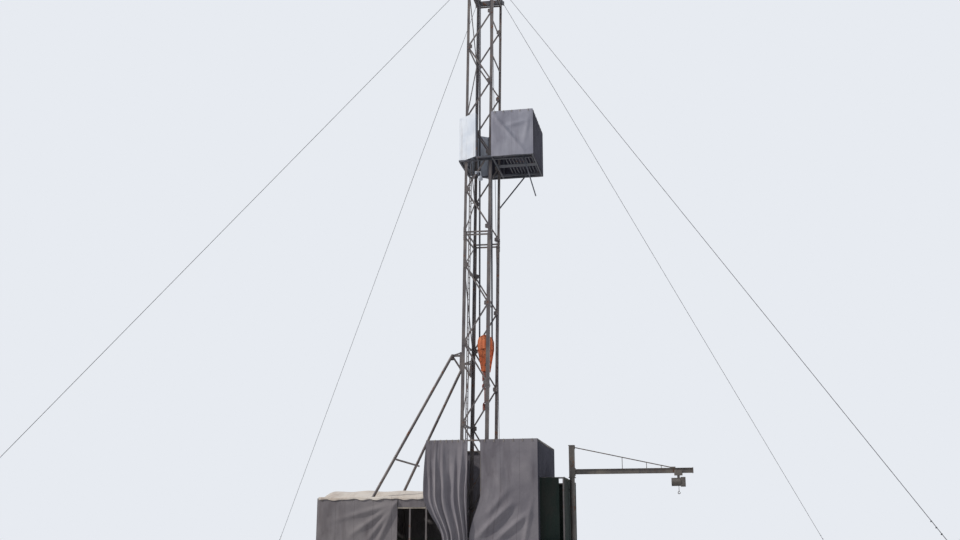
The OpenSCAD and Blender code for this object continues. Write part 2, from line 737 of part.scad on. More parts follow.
// Half a turn of line round a sheave, over it for side 1 and under it for side -1
module line_turn(y, z, side) translate([0, y, z]) rotate([side * 90, 0, 0])
    rotate_extrude(angle = 180, $fn = 64) translate([line_x, 0]) circle(d = line_d, $fn = 16);

// The turns of line over the crown, and the fast and dead lines down to their anchors on the drill floor
anchor_z = deck_top + 420;
fast_foot = [-750, -550, anchor_z];
dead_foot = [620, 550, anchor_z];

module anchored_lines() color("#33353a") {
    for (y = crown_ys) line_turn(y, crown_shaft[2], 1);
    for (s = [-1, 1]) {
        foot = s < 0 ? fast_foot : dead_foot;
        rod(foot - [0, 0, 20], [s * line_x, s * crown_pitch * sheaves / 2, crown_shaft[2] - line_end], line_d);
        translate([foot[0] - 90, foot[1] - 90, deck_top + fit]) cube([180, 180, anchor_z - deck_top]);
    }
}

// From the front of each crown sheave to the block, and from the back of each block sheave to the next
module drilling_lines() color("#33353a") for (i = [0 : sheaves - 1]) {
    rod([line_x, block_ys[i], block_z + line_end], [line_x, crown_ys[i], crown_shaft[2] - line_end], line_d);
    rod([-line_x, block_ys[i], block_z + line_end], [-line_x, crown_ys[i + 1], crown_shaft[2] - line_end], line_d);
}

cheek_w = 2 * rim_r + 70;
cheek_y = (sheaves - 1) / 2 * sheave_pitch + 50;
cheek_t = 30;
ridge = 110;
cheek_low = block_z - cheek_l + rim_r + 170;

// A block cheek: round over the sheaves, tapered to the becket
function cheek_outline() = concat(
    [for (a = [0 : 15 : 180]) [cheek_w / 2 * cos(a), cheek_w / 2 * sin(a)]],
    [[-cheek_w / 2, -rim_r], [-190, cheek_low - block_z], [190, cheek_low - block_z], [cheek_w / 2, -rim_r]]);

module cheek() {
    rotate([90, 0, 0]) linear_extrude(cheek_t) polygon(cheek_outline());
    translate([0, 0, -rim_r * 0.95]) linear_extrude(rim_r * 1.65)
        polygon([[-cheek_w / 2 + 50, -cheek_t + 2], [0, -cheek_t - ridge], [cheek_w / 2 - 50, -cheek_t + 2]]);
}

stem_r = 70;
becket_h = 330;

module travelling_block() color("#c8552b") difference() {
    union() {
        for (m = [0, 1]) mirror([0, m, 0]) translate([0, -cheek_y, block_z]) cheek();
        translate([-180, -cheek_y - 5, cheek_low]) cube([360, 2 * cheek_y + 10, becket_h]);
        translate([0, 0, block_z]) rotate([90, 0, 0]) cylinder(h = 2 * (cheek_y + cheek_t + 20), d = shaft_d + 60, center = true);
    }
    translate([0, 0, block_z]) rotate([90, 0, 0]) cylinder(h = 2 * cheek_y, d = shaft_d + 80, center = true);
    translate([0, 0, cheek_low - 10]) cylinder(h = 200, r = stem_r + 1);
    translate([0, 0, cheek_low + 64]) cylinder(h = 102, r = stem_r + 41);
}

// The block's sheaves on their shaft, with the turns of line under them
module block_sheaves() color("#4b4034") {
    translate([0, 0, block_z]) {
        for (y = block_ys) translate([0, y, 0]) sheave();
        rotate([90, 0, 0]) cylinder(h = 2 * cheek_y - 2 * fit, d = shaft_d, center = true);
    }
    for (y = block_ys) line_turn(y, block_z, -1);
}

barrel_h = 420;
barrel_r = 190;
barrel_low = cheek_low - 40 - barrel_h;
hook_r = 150;
hook_z = barrel_low - 60 - hook_r - 60;
ear_z = barrel_low + 90;
ear_y = barrel_r + 95;

// The swivel stem and its collar turn in the block's becket, over the spring barrel and the hook
module hook() color("#5c1f1a") {
    translate([0, 0, barrel_low + 10]) cylinder(h = cheek_low + 165 - barrel_low - 10, r = stem_r);
    translate([0, 0, cheek_low + 65]) cylinder(h = 100, r = stem_r + 40);
    translate([0, 0, barrel_low]) cylinder(h = barrel_h, r = barrel_r);
    translate([0, 0, hook_z + hook_r]) cylinder(h = barrel_low - hook_z - hook_r + 10, r = 55);
    translate([0, 0, hook_z]) rotate([90, 0, 0]) rotate([0, 0, 90])
        rotate_extrude(angle = 290, $fn = 64) translate([hook_r, 0]) circle(r = 52, $fn = 24);
    for (s = [-1, 1]) {
        translate([-45, s * (barrel_r + 25) - 50, ear_z - 40]) cube([90, 100, 80]);
        translate([0, s * ear_y, ear_z]) rotate([90, 0, 0]) cylinder(h = 130, r = 38, center = true);
    }
}

eye_r = 75;
eye_t = 26;
link_y = ear_y + 15;
link_low = ear_z - link_l;

// Two long links, with an eye over each ear of the hook and one through each lug of the elevator
module elevator_links() color("#4d2a24") for (s = [-1, 1]) translate([0, s * link_y, 0]) {
    for (z = [ear_z - eye_r + 38 + eye_t + fit, link_low])
        translate([0, 0, z]) rotate([90, 0, 0]) rotate_extrude($fn = 48) translate([eye_r, 0]) circle(r = eye_t, $fn = 16);
    translate([0, 0, link_low + eye_r]) cylinder(h = ear_z - 2 * eye_r + 38 + eye_t - link_low - eye_r, r = eye_t);
}

elevator_z = link_low - eye_r - eye_t - 20;

// A split collar hung on the links' lower eyes, bored for the drill pipe
lug_z = link_low - eye_r + eye_t + 36 + fit;

module elevator() color("#3a2320") {
    difference() {
        translate([0, 0, elevator_z - 140]) cylinder(h = 280, r = 170);
        translate([0, 0, elevator_z - 150]) cylinder(h = 300, r = 68);
        translate([120, -6, elevator_z - 150]) cube([100, 12, 300]);
    }
    for (m = [0, 1]) mirror([0, m, 0]) {
        translate([0, link_y, lug_z]) rotate([90, 0, 0]) cylinder(h = 150, r = 36, center = true);
        translate([-36, 130, lug_z - 150]) cube([72, link_y - eye_t - 8 - 130, 150]);
    }
}

// Jib crane

spigot_d = 180;
base_w = 700;
base_rib_h = 420;
head_low = shoulder_z + fit;
head_top = head_low + head_h;
boom_low = head_low + 170;
boom_top = boom_low + boom_h;
web_t = 12;
flange_t = 16;

module at_pillar() translate([pillar_x, -pillar_y, 0]) children();

module jib_pillar() color("#7b7364") at_pillar() {
    translate([-pillar_d / 2 - 20, -base_w / 2, 0]) cube([pillar_d / 2 + 20 + base_w / 2, base_w, 30]);
    cylinder(h = shoulder_z, d = pillar_d);
    cylinder(h = head_top - 150, d = spigot_d);
    for (a = [-90, 0, 90]) rotate([0, 0, a]) translate([pillar_d / 2 - 10, 12, 25])
        rotate([90, 0, 0]) linear_extrude(24)
            polygon([[0, 0], [base_w / 2 - pillar_d / 2 - 20, 0], [60, base_rib_h], [0, base_rib_h]]);
}

module jib_head() color("#8d8470") at_pillar() difference() {
    union() {
        translate([-head_w / 2, -head_w / 2, head_low]) cube([head_w, head_w, head_h]);
        translate([-head_w / 2 - 30, -head_w / 2 - 30, head_low]) cube([head_w + 60, head_w + 60, 40]);
        translate([-head_w / 2 - 20, -head_w / 2 - 20, head_top - 30]) cube([head_w + 40, head_w + 40, 30]);
    }
    translate([0, 0, head_low - 10]) cylinder(h = head_h - 100, d = spigot_d + 4);
}

tie_x = boom_l - 950;
tie_top = head_top - 110;
hanger_xs = [0.42 * boom_l, 0.62 * boom_l, 0.74 * boom_l];

function tie_z(x) = tie_top + (boom_top + 10 - tie_top) * (x - head_w / 2) / (tie_x - head_w / 2);

module boom_profile() polygon([[-boom_b / 2, 0], [boom_b / 2, 0], [boom_b / 2, flange_t], [web_t / 2, flange_t],
    [web_t / 2, boom_h - flange_t], [boom_b / 2, boom_h - flange_t], [boom_b / 2, boom_h], [-boom_b / 2, boom_h],
    [-boom_b / 2, boom_h - flange_t], [-web_t / 2, boom_h - flange_t], [-web_t / 2, flange_t], [-boom_b / 2, flange_t]]);

// The boom's beam with its heel plate, the tie rod, the hangers and the end stop
module jib_boom() color("#4a4660") at_pillar() {
    translate([head_w / 2 + fit, 0, boom_low]) rotate([90, 0, 90]) linear_extrude(boom_l - head_w / 2) boom_profile();
    translate([head_w / 2 + fit, -110, boom_low - 60]) cube([24, 220, boom_h + 120]);
    translate([head_w / 2 + fit, -60, tie_top - 70]) cube([24, 120, 140]);
    rod([head_w / 2 + 10, 0, tie_top], [tie_x, 0, tie_z(tie_x)], 46);
    translate([tie_x - 130, -20, boom_top - 2]) cube([260, 40, 60]);
    for (x = hanger_xs) translate([x, 0, boom_top - 5]) cylinder(h = tie_z(x) - boom_top + 5, d = 30);
    translate([boom_l - 40, -boom_b / 2 - 20, boom_low - 20]) cube([24, boom_b + 40, boom_h + 40]);
}

wheel_r = 55;
plate_y = boom_b / 2 + 12;
hoist_top = boom_low - 110;

// Trolley plates with four wheels on the boom's lower flange, and the hoist hung under them
module hoist_trolley() color("#5a5548") at_pillar() translate([trolley_x, 0, 0]) {
    for (s = [-1, 1]) {
        translate([-190, s * (plate_y + 8) - 8, hoist_top + 20]) cube([380, 16, boom_low - hoist_top - 20 + 150]);
        for (x = [-120, 120]) translate([x, s * (plate_y + 2), boom_low + flange_t + 0.8 + wheel_r]) rotate([s * 90, 0, 0])
            cylinder(h = plate_y - web_t / 2 - 10, r = wheel_r);
    }
    translate([-190, -plate_y - 16, hoist_top]) cube([380, 2 * plate_y + 32, 24]);
    translate([-60, -60, hoist_top - 140]) cube([120, 120, 150]);
    translate([-330, 0, hoist_top - 300]) rotate([0, 90, 0]) cylinder(h = 420, r = 190);
    translate([90, -140, hoist_top - 520]) cube([230, 280, 440]);
    translate([0, 0, hoist_top - 760]) cylinder(h = 300, r = 12);
    translate([0, 0, hoist_top - 800]) rotate([90, 0, 0]) rotate([0, 0, 90])
        rotate_extrude(angle = 290, $fn = 48) translate([50, 0]) circle(r = 16, $fn = 16);
    translate([0, 0, hoist_top - 770]) cylinder(h = 60, r = 24);
}

// Guy lines

guy_x = mast_a / 2 + 60;
guy_y = mast_b / 2 + 30;
guy_low = 360;
anchor_w = 130;
lug_out = 60;

function crown_guy(sx, sy) = stand([sx * guy_x, sy * guy_y, crown_z + crown_t / 2]);

function guy_run(sx, sy) = [anchor_xy * sx - crown_guy(sx, sy)[0], anchor_xy * sy - crown_guy(sx, sy)[1]];

function guy_angle(sx, sy) = atan2(guy_run(sx, sy)[1], guy_run(sx, sy)[0]);

// One guy in the plane of its own run: the line, and a turnbuckle near the ground
module guy(run, top) {
    difference() {
        union() {
            rod([0, 0, top], [run, 0, guy_low], guy_d);
            rod([run * 0.96, 0, guy_low + (top - guy_low) * 0.04], [run * 0.985, 0, guy_low + (top - guy_low) * 0.015], 90);
        }
        translate([-1000, -500, top - 3000]) cube([1000 + lug_out + fit, 1000, 4000]);
        translate([run - anchor_w / 2 - fit, -500, 0]) cube([1000, 1000, 2000]);
    }
}

module guy_lines() color("#3c3d44") for (sx = [-1, 1], sy = [-1, 1]) {
    p = crown_guy(sx, sy);
    translate([p[0], p[1], 0]) rotate([0, 0, guy_angle(sx, sy)]) guy(norm(guy_run(sx, sy)), p[2]);
}

module guy_anchors() color("#5a4a3c") for (sx = [-1, 1], sy = [-1, 1])
    translate([sx * anchor_xy, sy * anchor_xy, 0]) rotate([0, 0, guy_angle(sx, sy)]) {
        translate([-anchor_w / 2, -anchor_w / 2, 0]) cube([anchor_w, anchor_w, guy_low + 120]);
        translate([-300, -300, 0]) cube([600, 600, 60]);
    }

substructure_near();
substructure_far();
cross_beams();
drill_floor();
machinery_skid_near();
machinery_skid_far();
machinery_deck();
wall_posts();
wall_rails();
curtain_near();
canvas_near();
canvas_front();
canvas_far();
canvas_back();
porch_canvas();
machinery_posts();
machinery_rails();
machinery_canvas_near();
machinery_canvas_back();
machinery_canvas_far();
roof_bows();
roof_canvas();
mast_shoes();
mast_lower_near();
mast_lower_far();
mast_lower_back();
mast_upper_near();
mast_upper_far();
mast_upper_back();
mast_front_girts();
mast_ladder();
brace_brackets();
mast_brace_near();
mast_brace_far();
brace_link();
board_frame();
board_walkway();
racking_fingers();
board_posts();
board_canvas_near();
board_canvas_front();
board_canvas_far();
board_corner_panels();
board_back_panel();
board_props();
crown_frame();
crown_sheaves();
anchored_lines();
drilling_lines();
travelling_block();
block_sheaves();
hook();
elevator_links();
elevator();
jib_pillar();
jib_head();
jib_boom();
hoist_trolley();
guy_lines();
guy_anchors();
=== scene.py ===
import json
import math

import bpy
from mathutils import Matrix, Vector, noise


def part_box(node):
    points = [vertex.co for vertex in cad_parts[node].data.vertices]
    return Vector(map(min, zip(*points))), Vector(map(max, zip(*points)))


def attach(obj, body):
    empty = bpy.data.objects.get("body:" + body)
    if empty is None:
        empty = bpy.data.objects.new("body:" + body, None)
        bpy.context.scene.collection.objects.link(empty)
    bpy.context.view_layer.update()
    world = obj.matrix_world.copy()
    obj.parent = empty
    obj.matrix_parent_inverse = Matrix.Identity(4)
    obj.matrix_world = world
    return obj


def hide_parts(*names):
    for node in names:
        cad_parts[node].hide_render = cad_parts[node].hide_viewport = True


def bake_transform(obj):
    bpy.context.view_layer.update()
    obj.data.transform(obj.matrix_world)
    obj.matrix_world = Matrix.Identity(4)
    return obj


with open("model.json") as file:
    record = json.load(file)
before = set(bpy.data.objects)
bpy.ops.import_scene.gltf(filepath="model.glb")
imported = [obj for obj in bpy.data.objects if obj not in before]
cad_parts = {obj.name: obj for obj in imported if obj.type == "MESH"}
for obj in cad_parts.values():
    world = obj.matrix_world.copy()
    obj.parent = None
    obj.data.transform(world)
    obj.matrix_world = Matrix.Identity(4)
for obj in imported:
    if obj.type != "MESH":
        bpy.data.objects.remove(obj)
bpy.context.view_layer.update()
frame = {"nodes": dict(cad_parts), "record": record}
record = frame["record"]

# Sizes of the model, in metres
RAIL = 0.07
CANVAS_SKIN = 0.0123
DECK_THICK = 0.04
PORCH_LENGTH = 1.15
PORCH_INSET = 0.6
PORCH_SLIT = 0.17
DOOR_LENGTH = 1.35
DOOR_HEIGHT = 1.5
LINTEL_DEEP = 0.09

# Places taken from the model
FLOOR_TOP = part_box("drill_floor")[1].z
FLOOR_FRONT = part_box("canvas_near")[1].x - CANVAS_SKIN
FLOOR_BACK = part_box("canvas_far")[0].x
HALF_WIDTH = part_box("drill_floor")[1].y
WALL_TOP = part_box("wall_rails")[1].z
CANVAS_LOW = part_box("canvas_near")[0].z
MACHINERY_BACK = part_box("machinery_deck")[0].x
MACHINERY_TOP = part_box("machinery_rails")[1].z
PORCH_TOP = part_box("porch_canvas")[1].z
PORCH_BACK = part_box("porch_canvas")[0].x
PORCH_FRONT = PORCH_BACK + PORCH_LENGTH
PORCH_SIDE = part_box("wall_posts")[1].y - PORCH_INSET
DECK_UNDER = FLOOR_TOP - DECK_THICK
NEAR_PLANE = -HALF_WIDTH
CURTAIN_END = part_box("curtain_near")[1].x
GAP_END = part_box("canvas_near")[0].x
DOOR_START = FLOOR_BACK - DOOR_LENGTH
LINTEL_TOP = FLOOR_TOP + DOOR_HEIGHT + LINTEL_DEEP

# Ways to shape and finish a piece


def clear_selection():
    """Object mode with nothing selected."""
    if bpy.context.object and bpy.context.object.mode != "OBJECT":
        bpy.ops.object.mode_set(mode="OBJECT")
    bpy.ops.object.select_all(action="DESELECT")


def pick(*objs):
    """Selects these objects, the first one active."""
    clear_selection()
    for obj in objs:
        obj.select_set(True)
    bpy.context.view_layer.objects.active = objs[0]
    return objs[0]


def settle(obj, name):
    """Puts the object's place into its mesh and names it."""
    pick(obj)
    bpy.ops.object.transform_apply(location=True, rotation=True, scale=True)
    obj.name = name
    obj.data.name = name
    return obj


def apply_modifier(obj, kind, **settings):
    modifier = obj.modifiers.new(kind.lower(), kind)
    for key, value in settings.items():
        setattr(modifier, key, value)
    pick(obj)
    bpy.ops.object.modifier_apply(modifier=modifier.name)


def bevel_edges(obj, width):
    pick(obj)
    bpy.ops.object.mode_set(mode="EDIT")
    bpy.ops.mesh.select_all(action="SELECT")
    bpy.ops.mesh.bevel(offset=width, segments=1, affect="EDGES")
    bpy.ops.object.mode_set(mode="OBJECT")


def select_faces(obj, chosen):
    """Edit mode with only the faces selected that chosen(face) holds for."""
    pick(obj)
    bpy.ops.object.mode_set(mode="EDIT")
    bpy.ops.mesh.select_mode(type="FACE")
    bpy.ops.mesh.select_all(action="DESELECT")
    bpy.ops.object.mode_set(mode="OBJECT")
    for face in obj.data.polygons:
        face.select = chosen(face)
    bpy.ops.object.mode_set(mode="EDIT")


def along_axis(run):
    """The turn that takes Z to the direction of run."""
    return Vector((0, 0, 1)).rotation_difference(run).to_matrix().to_4x4()


def joined(objs, name):
    """One piece from several."""
    pick(*objs)
    if len(objs) > 1:
        bpy.ops.object.join()
    obj = bpy.context.view_layer.objects.active
    obj.name = name
    obj.data.name = name
    return obj


def copy_at(obj, matrix):
    """A copy with its own mesh, moved by the matrix."""
    twin = obj.copy()
    twin.data = obj.data.copy()
    bpy.context.collection.objects.link(twin)
    twin.data.transform(matrix)
    if matrix.to_3x3().determinant() < 0:
        twin.data.flip_normals()
    return twin


def repeated(obj, matrices, name):
    """Copies of the object at each matrix, as one piece. The first object goes."""
    twins = [copy_at(obj, matrix) for matrix in matrices]
    bpy.data.objects.remove(obj)
    return joined(twins, name)


def box_piece(name, low, high, edge):
    """A square-cut bar or plate, its edges eased by edge."""
    low, high = Vector(low), Vector(high)
    clear_selection()
    bpy.ops.mesh.primitive_cube_add(size=1, location=(low + high) / 2)
    obj = bpy.context.object
    obj.scale = high - low
    settle(obj, name)
    bevel_edges(obj, edge)
    return obj


def tube_piece(name, start, end, radius, sides=12, edge=0.0):
    """A round bar between two points, its rims eased by edge."""
    start, end = Vector(start), Vector(end)
    clear_selection()
    bpy.ops.mesh.primitive_cylinder_add(vertices=sides, radius=radius, depth=(end - start).length)
    obj = bpy.context.object
    obj.data.transform(Matrix.Translation((start + end) / 2) @ along_axis(end - start))
    obj.name = name
    obj.data.name = name
    if edge:
        apply_modifier(obj, "BEVEL", width=edge, segments=1, limit_method="ANGLE",
                       angle_limit=math.radians(70))
    return obj


def ring_piece(name, radius, rod, segments, sides, turn=(0, 0, 0)):
    """A closed ring of round rod about Z, or turned from there."""
    clear_selection()
    bpy.ops.mesh.primitive_torus_add(major_segments=segments, minor_segments=sides, major_radius=radius,
                                     minor_radius=rod, rotation=turn)
    return settle(bpy.context.object, name)


def finish_piece(obj, body, material, smooth=35):
    """Rides on its body and gets its material."""
    obj.data.materials.clear()
    obj.data.materials.append(material)
    pick(obj)
    bpy.ops.object.shade_smooth_by_angle(angle=math.radians(smooth))
    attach(obj, body)
    return obj


# Camera, at the photograph's viewing angle

CAMERA_TURN = 11.0
CAMERA_AWAY = 55.0
CAMERA_HEIGHT = 1.6
CAMERA_TILT = 14.3
CAMERA_LENS = 41.25
SENSOR_WIDTH = 36.0
FAR_CLIP = 2000.0
AIM_LEFT = 0.31


def make_camera():
    data = bpy.data.cameras.new("photo_camera")
    data.lens = CAMERA_LENS
    data.sensor_width = SENSOR_WIDTH
    data.clip_end = FAR_CLIP
    camera = bpy.data.objects.new("photo_camera", data)
    turn = math.radians(CAMERA_TURN)
    camera.location = (CAMERA_AWAY * math.sin(turn), -CAMERA_AWAY * math.cos(turn), CAMERA_HEIGHT)
    camera.rotation_euler = (math.radians(90 + CAMERA_TILT), 0, math.radians(CAMERA_TURN + AIM_LEFT))
    bpy.context.scene.collection.objects.link(camera)
    bpy.context.scene.camera = camera


make_camera()
bpy.context.scene.view_settings.view_transform = "Standard"

# Light, ground and backdrop

SUN_FROM = (-0.80, -0.31, 0.56)
SUN_STRENGTH = 2.1
SUN_COLOUR = (1.0, 0.96, 0.90)
SUN_SOFTNESS = 3
SKY_SEEN = (0.80, 0.83, 0.88, 1)
SKY_LIGHT = (0.86, 0.90, 1.0, 1)
SKY_STRENGTH = 0.42
GROUND_GREY = (0.66, 0.66, 0.66, 1)
GROUND_SIZE = 3000
GROUND_DROP = 0.002


def make_sun(name, direction, strength, colour, softness):
    data = bpy.data.lights.new(name, "SUN")
    data.energy = strength
    data.color = colour
    data.angle = math.radians(softness)
    lamp = bpy.data.objects.new(name, data)
    lamp.rotation_euler = Vector(direction).to_track_quat("Z", "Y").to_euler()
    bpy.context.scene.collection.objects.link(lamp)


def make_light():
    make_sun("key_sun", SUN_FROM, SUN_STRENGTH, SUN_COLOUR, SUN_SOFTNESS)
    world = bpy.data.worlds.new("pale_sky")
    bpy.context.scene.world = world
    world.use_nodes = True
    tree = world.node_tree
    tree.nodes.clear()
    seen = tree.nodes.new("ShaderNodeBackground")
    seen.inputs["Color"].default_value = SKY_SEEN
    lit = tree.nodes.new("ShaderNodeBackground")
    lit.inputs["Color"].default_value = SKY_LIGHT
    lit.inputs["Strength"].default_value = SKY_STRENGTH
    path = tree.nodes.new("ShaderNodeLightPath")
    direct = path.outputs["Is Camera Ray"]
    for ray in ("Is Glossy Ray", "Is Transmission Ray"):
        either = tree.nodes.new("ShaderNodeMath")
        either.operation = "MAXIMUM"
        tree.links.new(direct, either.inputs[0])
        tree.links.new(path.outputs[ray], either.inputs[1])
        direct = either.outputs[0]
    choice = tree.nodes.new("ShaderNodeMixShader")
    tree.links.new(direct, choice.inputs["Fac"])
    tree.links.new(lit.outputs[0], choice.inputs[1])
    tree.links.new(seen.outputs[0], choice.inputs[2])
    out = tree.nodes.new("ShaderNodeOutputWorld")
    tree.links.new(choice.outputs[0], out.inputs["Surface"])


def make_ground():
    clear_selection()
    bpy.ops.mesh.primitive_plane_add(size=GROUND_SIZE, location=(0, 0, -GROUND_DROP))
    ground = settle(bpy.context.object, "ground")
    material = bpy.data.materials.new("pale_ground")
    material.use_nodes = True
    shader = material.node_tree.nodes["Principled BSDF"]
    shader.inputs["Base Color"].default_value = GROUND_GREY
    shader.inputs["Roughness"].default_value = 0.95
    ground.data.materials.append(material)


make_light()
make_ground()

# Materials


class Looks:
    """One material's node tree, with short ways to make its patterns."""

    def __init__(self, name, roughness=0.6, metallic=0.0, pattern="Object"):
        self.material = bpy.data.materials.new(name)
        self.material.use_nodes = True
        self.tree = self.material.node_tree
        self.shader = self.tree.nodes["Principled BSDF"]
        self.shader.inputs["Roughness"].default_value = roughness
        self.shader.inputs["Metallic"].default_value = metallic
        self.place = self.tree.nodes.new("ShaderNodeTexCoord").outputs[pattern]

    def link(self, a, b):
        self.tree.links.new(a, b)

    def patches(self, scale, low, high, stretch=(1, 1, 1), detail=4.0, shift=0.0):
        """Noise from 0 to 1, cut between low and high."""
        mapping = self.tree.nodes.new("ShaderNodeMapping")
        mapping.inputs["Scale"].default_value = stretch
        mapping.inputs["Location"].default_value = (shift, shift * 0.7, shift * 0.3)
        self.link(self.place, mapping.inputs["Vector"])
        texture = self.tree.nodes.new("ShaderNodeTexNoise")
        texture.inputs["Scale"].default_value = scale
        texture.inputs["Detail"].default_value = detail
        texture.inputs["Roughness"].default_value = 0.6
        self.link(mapping.outputs["Vector"], texture.inputs["Vector"])
        ramp = self.tree.nodes.new("ShaderNodeMapRange")
        ramp.inputs["From Min"].default_value = low
        ramp.inputs["From Max"].default_value = high
        self.link(texture.outputs["Fac"], ramp.inputs["Value"])
        return ramp.outputs["Result"]

    def scaled(self, value, factor):
        times = self.tree.nodes.new("ShaderNodeMath")
        times.operation = "MULTIPLY"
        times.inputs[1].default_value = factor
        self.link(value, times.inputs[0])
        return times.outputs[0]

    def mixed(self, amount, first, second):
        """Colour between first and second, each a colour or a socket."""
        mix = self.tree.nodes.new("ShaderNodeMix")
        mix.data_type = "RGBA"
        self.link(amount, mix.inputs[0])
        for socket, colour in ((mix.inputs[6], first), (mix.inputs[7], second)):
            if isinstance(colour, tuple):
                socket.default_value = (*colour, 1)
            else:
                self.link(colour, socket)
        return mix.outputs[2]

    def stripes(self, axis, spacing, width):
        """1 on thin lines across the axis, one every spacing."""
        split = self.tree.nodes.new("ShaderNodeSeparateXYZ")
        self.link(self.place, split.inputs[0])
        value = self.scaled(split.outputs[axis], 1 / spacing)
        part = self.tree.nodes.new("ShaderNodeMath")
        part.operation = "FRACT"
        self.link(value, part.inputs[0])
        near = self.tree.nodes.new("ShaderNodeMath")
        near.operation = "LESS_THAN"
        near.inputs[1].default_value = width / spacing
        self.link(part.outputs[0], near.inputs[0])
        return near.outputs[0]

    def waves(self, scale, direction):
        texture = self.tree.nodes.new("ShaderNodeTexWave")
        texture.bands_direction = direction
        texture.inputs["Scale"].default_value = scale
        texture.inputs["Distortion"].default_value = 0.6
        self.link(self.place, texture.inputs["Vector"])
        return texture.outputs["Fac"]

    def added(self, a, b):
        plus = self.tree.nodes.new("ShaderNodeMath")
        plus.operation = "ADD"
        self.link(a, plus.inputs[0])
        self.link(b, plus.inputs[1])
        return plus.outputs[0]

    def bumped(self, height, strength, distance):
        bump = self.tree.nodes.new("ShaderNodeBump")
        bump.inputs["Strength"].default_value = strength
        bump.inputs["Distance"].default_value = distance
        self.link(height, bump.inputs["Height"])
        self.link(bump.outputs["Normal"], self.shader.inputs["Normal"])

    def coloured(self, colour):
        self.link(colour, self.shader.inputs["Base Color"])

    def roughened(self, amount, low, high):
        ramp = self.tree.nodes.new("ShaderNodeMapRange")
        ramp.inputs["To Min"].default_value = low
        ramp.inputs["To Max"].default_value = high
        self.link(amount, ramp.inputs["Value"])
        self.link(ramp.outputs["Result"], self.shader.inputs["Roughness"])


def worn_paint(name, paint, faded, dirt, rust, rust_from=0.60, metallic=0.15):
    """Brush paint that has chalked, with grease runs and rust breaking through."""
    look = Looks(name, metallic=metallic)
    chalk = look.patches(1.3, 0.35, 0.65)
    runs = look.patches(5.0, 0.50, 0.72, stretch=(1, 1, 0.12), shift=3.0)
    rusty = look.patches(3.4, rust_from, rust_from + 0.08, detail=8.0, shift=9.0)
    colour = look.mixed(chalk, paint, faded)
    colour = look.mixed(look.scaled(runs, 0.55), colour, dirt)
    look.coloured(look.mixed(rusty, colour, rust))
    look.roughened(rusty, 0.48, 0.85)
    look.bumped(look.patches(60.0, 0.3, 0.7, shift=1.0), 0.25, 0.002)
    return look.material


def canvas_cloth(name, cloth, faded, stain, strip=0.92, nap=0.25, gloss=0.5):
    """Heavy woven canvas, sewn from strips, sun-faded and stained in runs."""
    look = Looks(name, roughness=0.92, pattern="UV")
    fade = look.patches(0.55, 0.35, 0.68)
    runs = look.patches(1.7, 0.52, 0.74, stretch=(1, 0.16, 1), shift=5.0)
    marks = look.patches(0.9, 0.58, 0.72, detail=7.0, shift=11.0)
    colour = look.mixed(fade, cloth, faded)
    colour = look.mixed(look.scaled(runs, 0.6), colour, stain)
    colour = look.mixed(look.scaled(marks, 0.5), colour, stain)
    seam = look.stripes("X", strip, 0.03)
    look.coloured(look.mixed(look.scaled(seam, 0.30), colour, stain))
    weave = look.added(look.waves(95.0, "X"), look.waves(95.0, "Y"))
    crumple = look.scaled(look.patches(9.0, 0.2, 0.8, detail=5.0), 3.0)
    height = look.added(look.added(look.scaled(weave, 0.35), crumple), look.scaled(seam, 2.0))
    look.bumped(height, 0.5, 0.004)
    look.shader.inputs["Sheen Weight"].default_value = nap
    look.shader.inputs["Sheen Roughness"].default_value = 0.6
    look.shader.inputs["Specular IOR Level"].default_value = gloss
    return look.material


def wire_rope(name, steel, grease):
    """Laid strands under grease."""
    look = Looks(name, roughness=0.45, metallic=0.6)
    look.coloured(look.mixed(look.patches(7.0, 0.4, 0.65), steel, grease))
    look.bumped(look.waves(30.0, "DIAGONAL"), 0.6, 0.003)
    return look.material


def deck_steel(name):
    """Chequered deck plate with mud trodden in."""
    look = Looks(name, metallic=0.35)
    worn = look.patches(2.2, 0.4, 0.66)
    mud = look.patches(1.1, 0.50, 0.68, detail=7.0, shift=4.0)
    colour = look.mixed(worn, (0.17, 0.18, 0.19), (0.30, 0.30, 0.30))
    look.coloured(look.mixed(mud, colour, (0.27, 0.22, 0.17)))
    look.roughened(mud, 0.42, 0.9)
    check = look.added(look.waves(9.0, "X"), look.waves(9.0, "Y"))
    look.bumped(check, 0.5, 0.004)
    return look.material


MAST_PAINT = worn_paint("mast_paint", paint=(0.115, 0.10, 0.105), faded=(0.20, 0.175, 0.165),
                        dirt=(0.05, 0.045, 0.055), rust=(0.19, 0.09, 0.055))
DARK_PAINT = worn_paint("board_paint", paint=(0.07, 0.08, 0.10), faded=(0.12, 0.12, 0.14),
                        dirt=(0.04, 0.04, 0.05), rust=(0.20, 0.10, 0.06))
SKID_PAINT = worn_paint("skid_paint", paint=(0.13, 0.14, 0.16), faded=(0.20, 0.20, 0.21),
                        dirt=(0.22, 0.18, 0.14), rust=(0.22, 0.11, 0.06), rust_from=0.55)
FRAME_PAINT = worn_paint("frame_paint", paint=(0.42, 0.37, 0.30), faded=(0.54, 0.48, 0.40),
                         dirt=(0.18, 0.15, 0.13), rust=(0.25, 0.13, 0.07))
POST_PAINT = worn_paint("post_paint", paint=(0.145, 0.13, 0.13), faded=(0.22, 0.195, 0.185),
                        dirt=(0.08, 0.07, 0.07), rust=(0.20, 0.10, 0.06))
CROWN_PAINT = worn_paint("crown_paint", paint=(0.10, 0.10, 0.12), faded=(0.17, 0.17, 0.18),
                         dirt=(0.03, 0.03, 0.03), rust=(0.20, 0.10, 0.06))
BLOCK_PAINT = worn_paint("block_paint", paint=(0.60, 0.11, 0.03), faded=(0.70, 0.20, 0.07),
                         dirt=(0.10, 0.03, 0.02), rust=(0.20, 0.07, 0.04), rust_from=0.62)
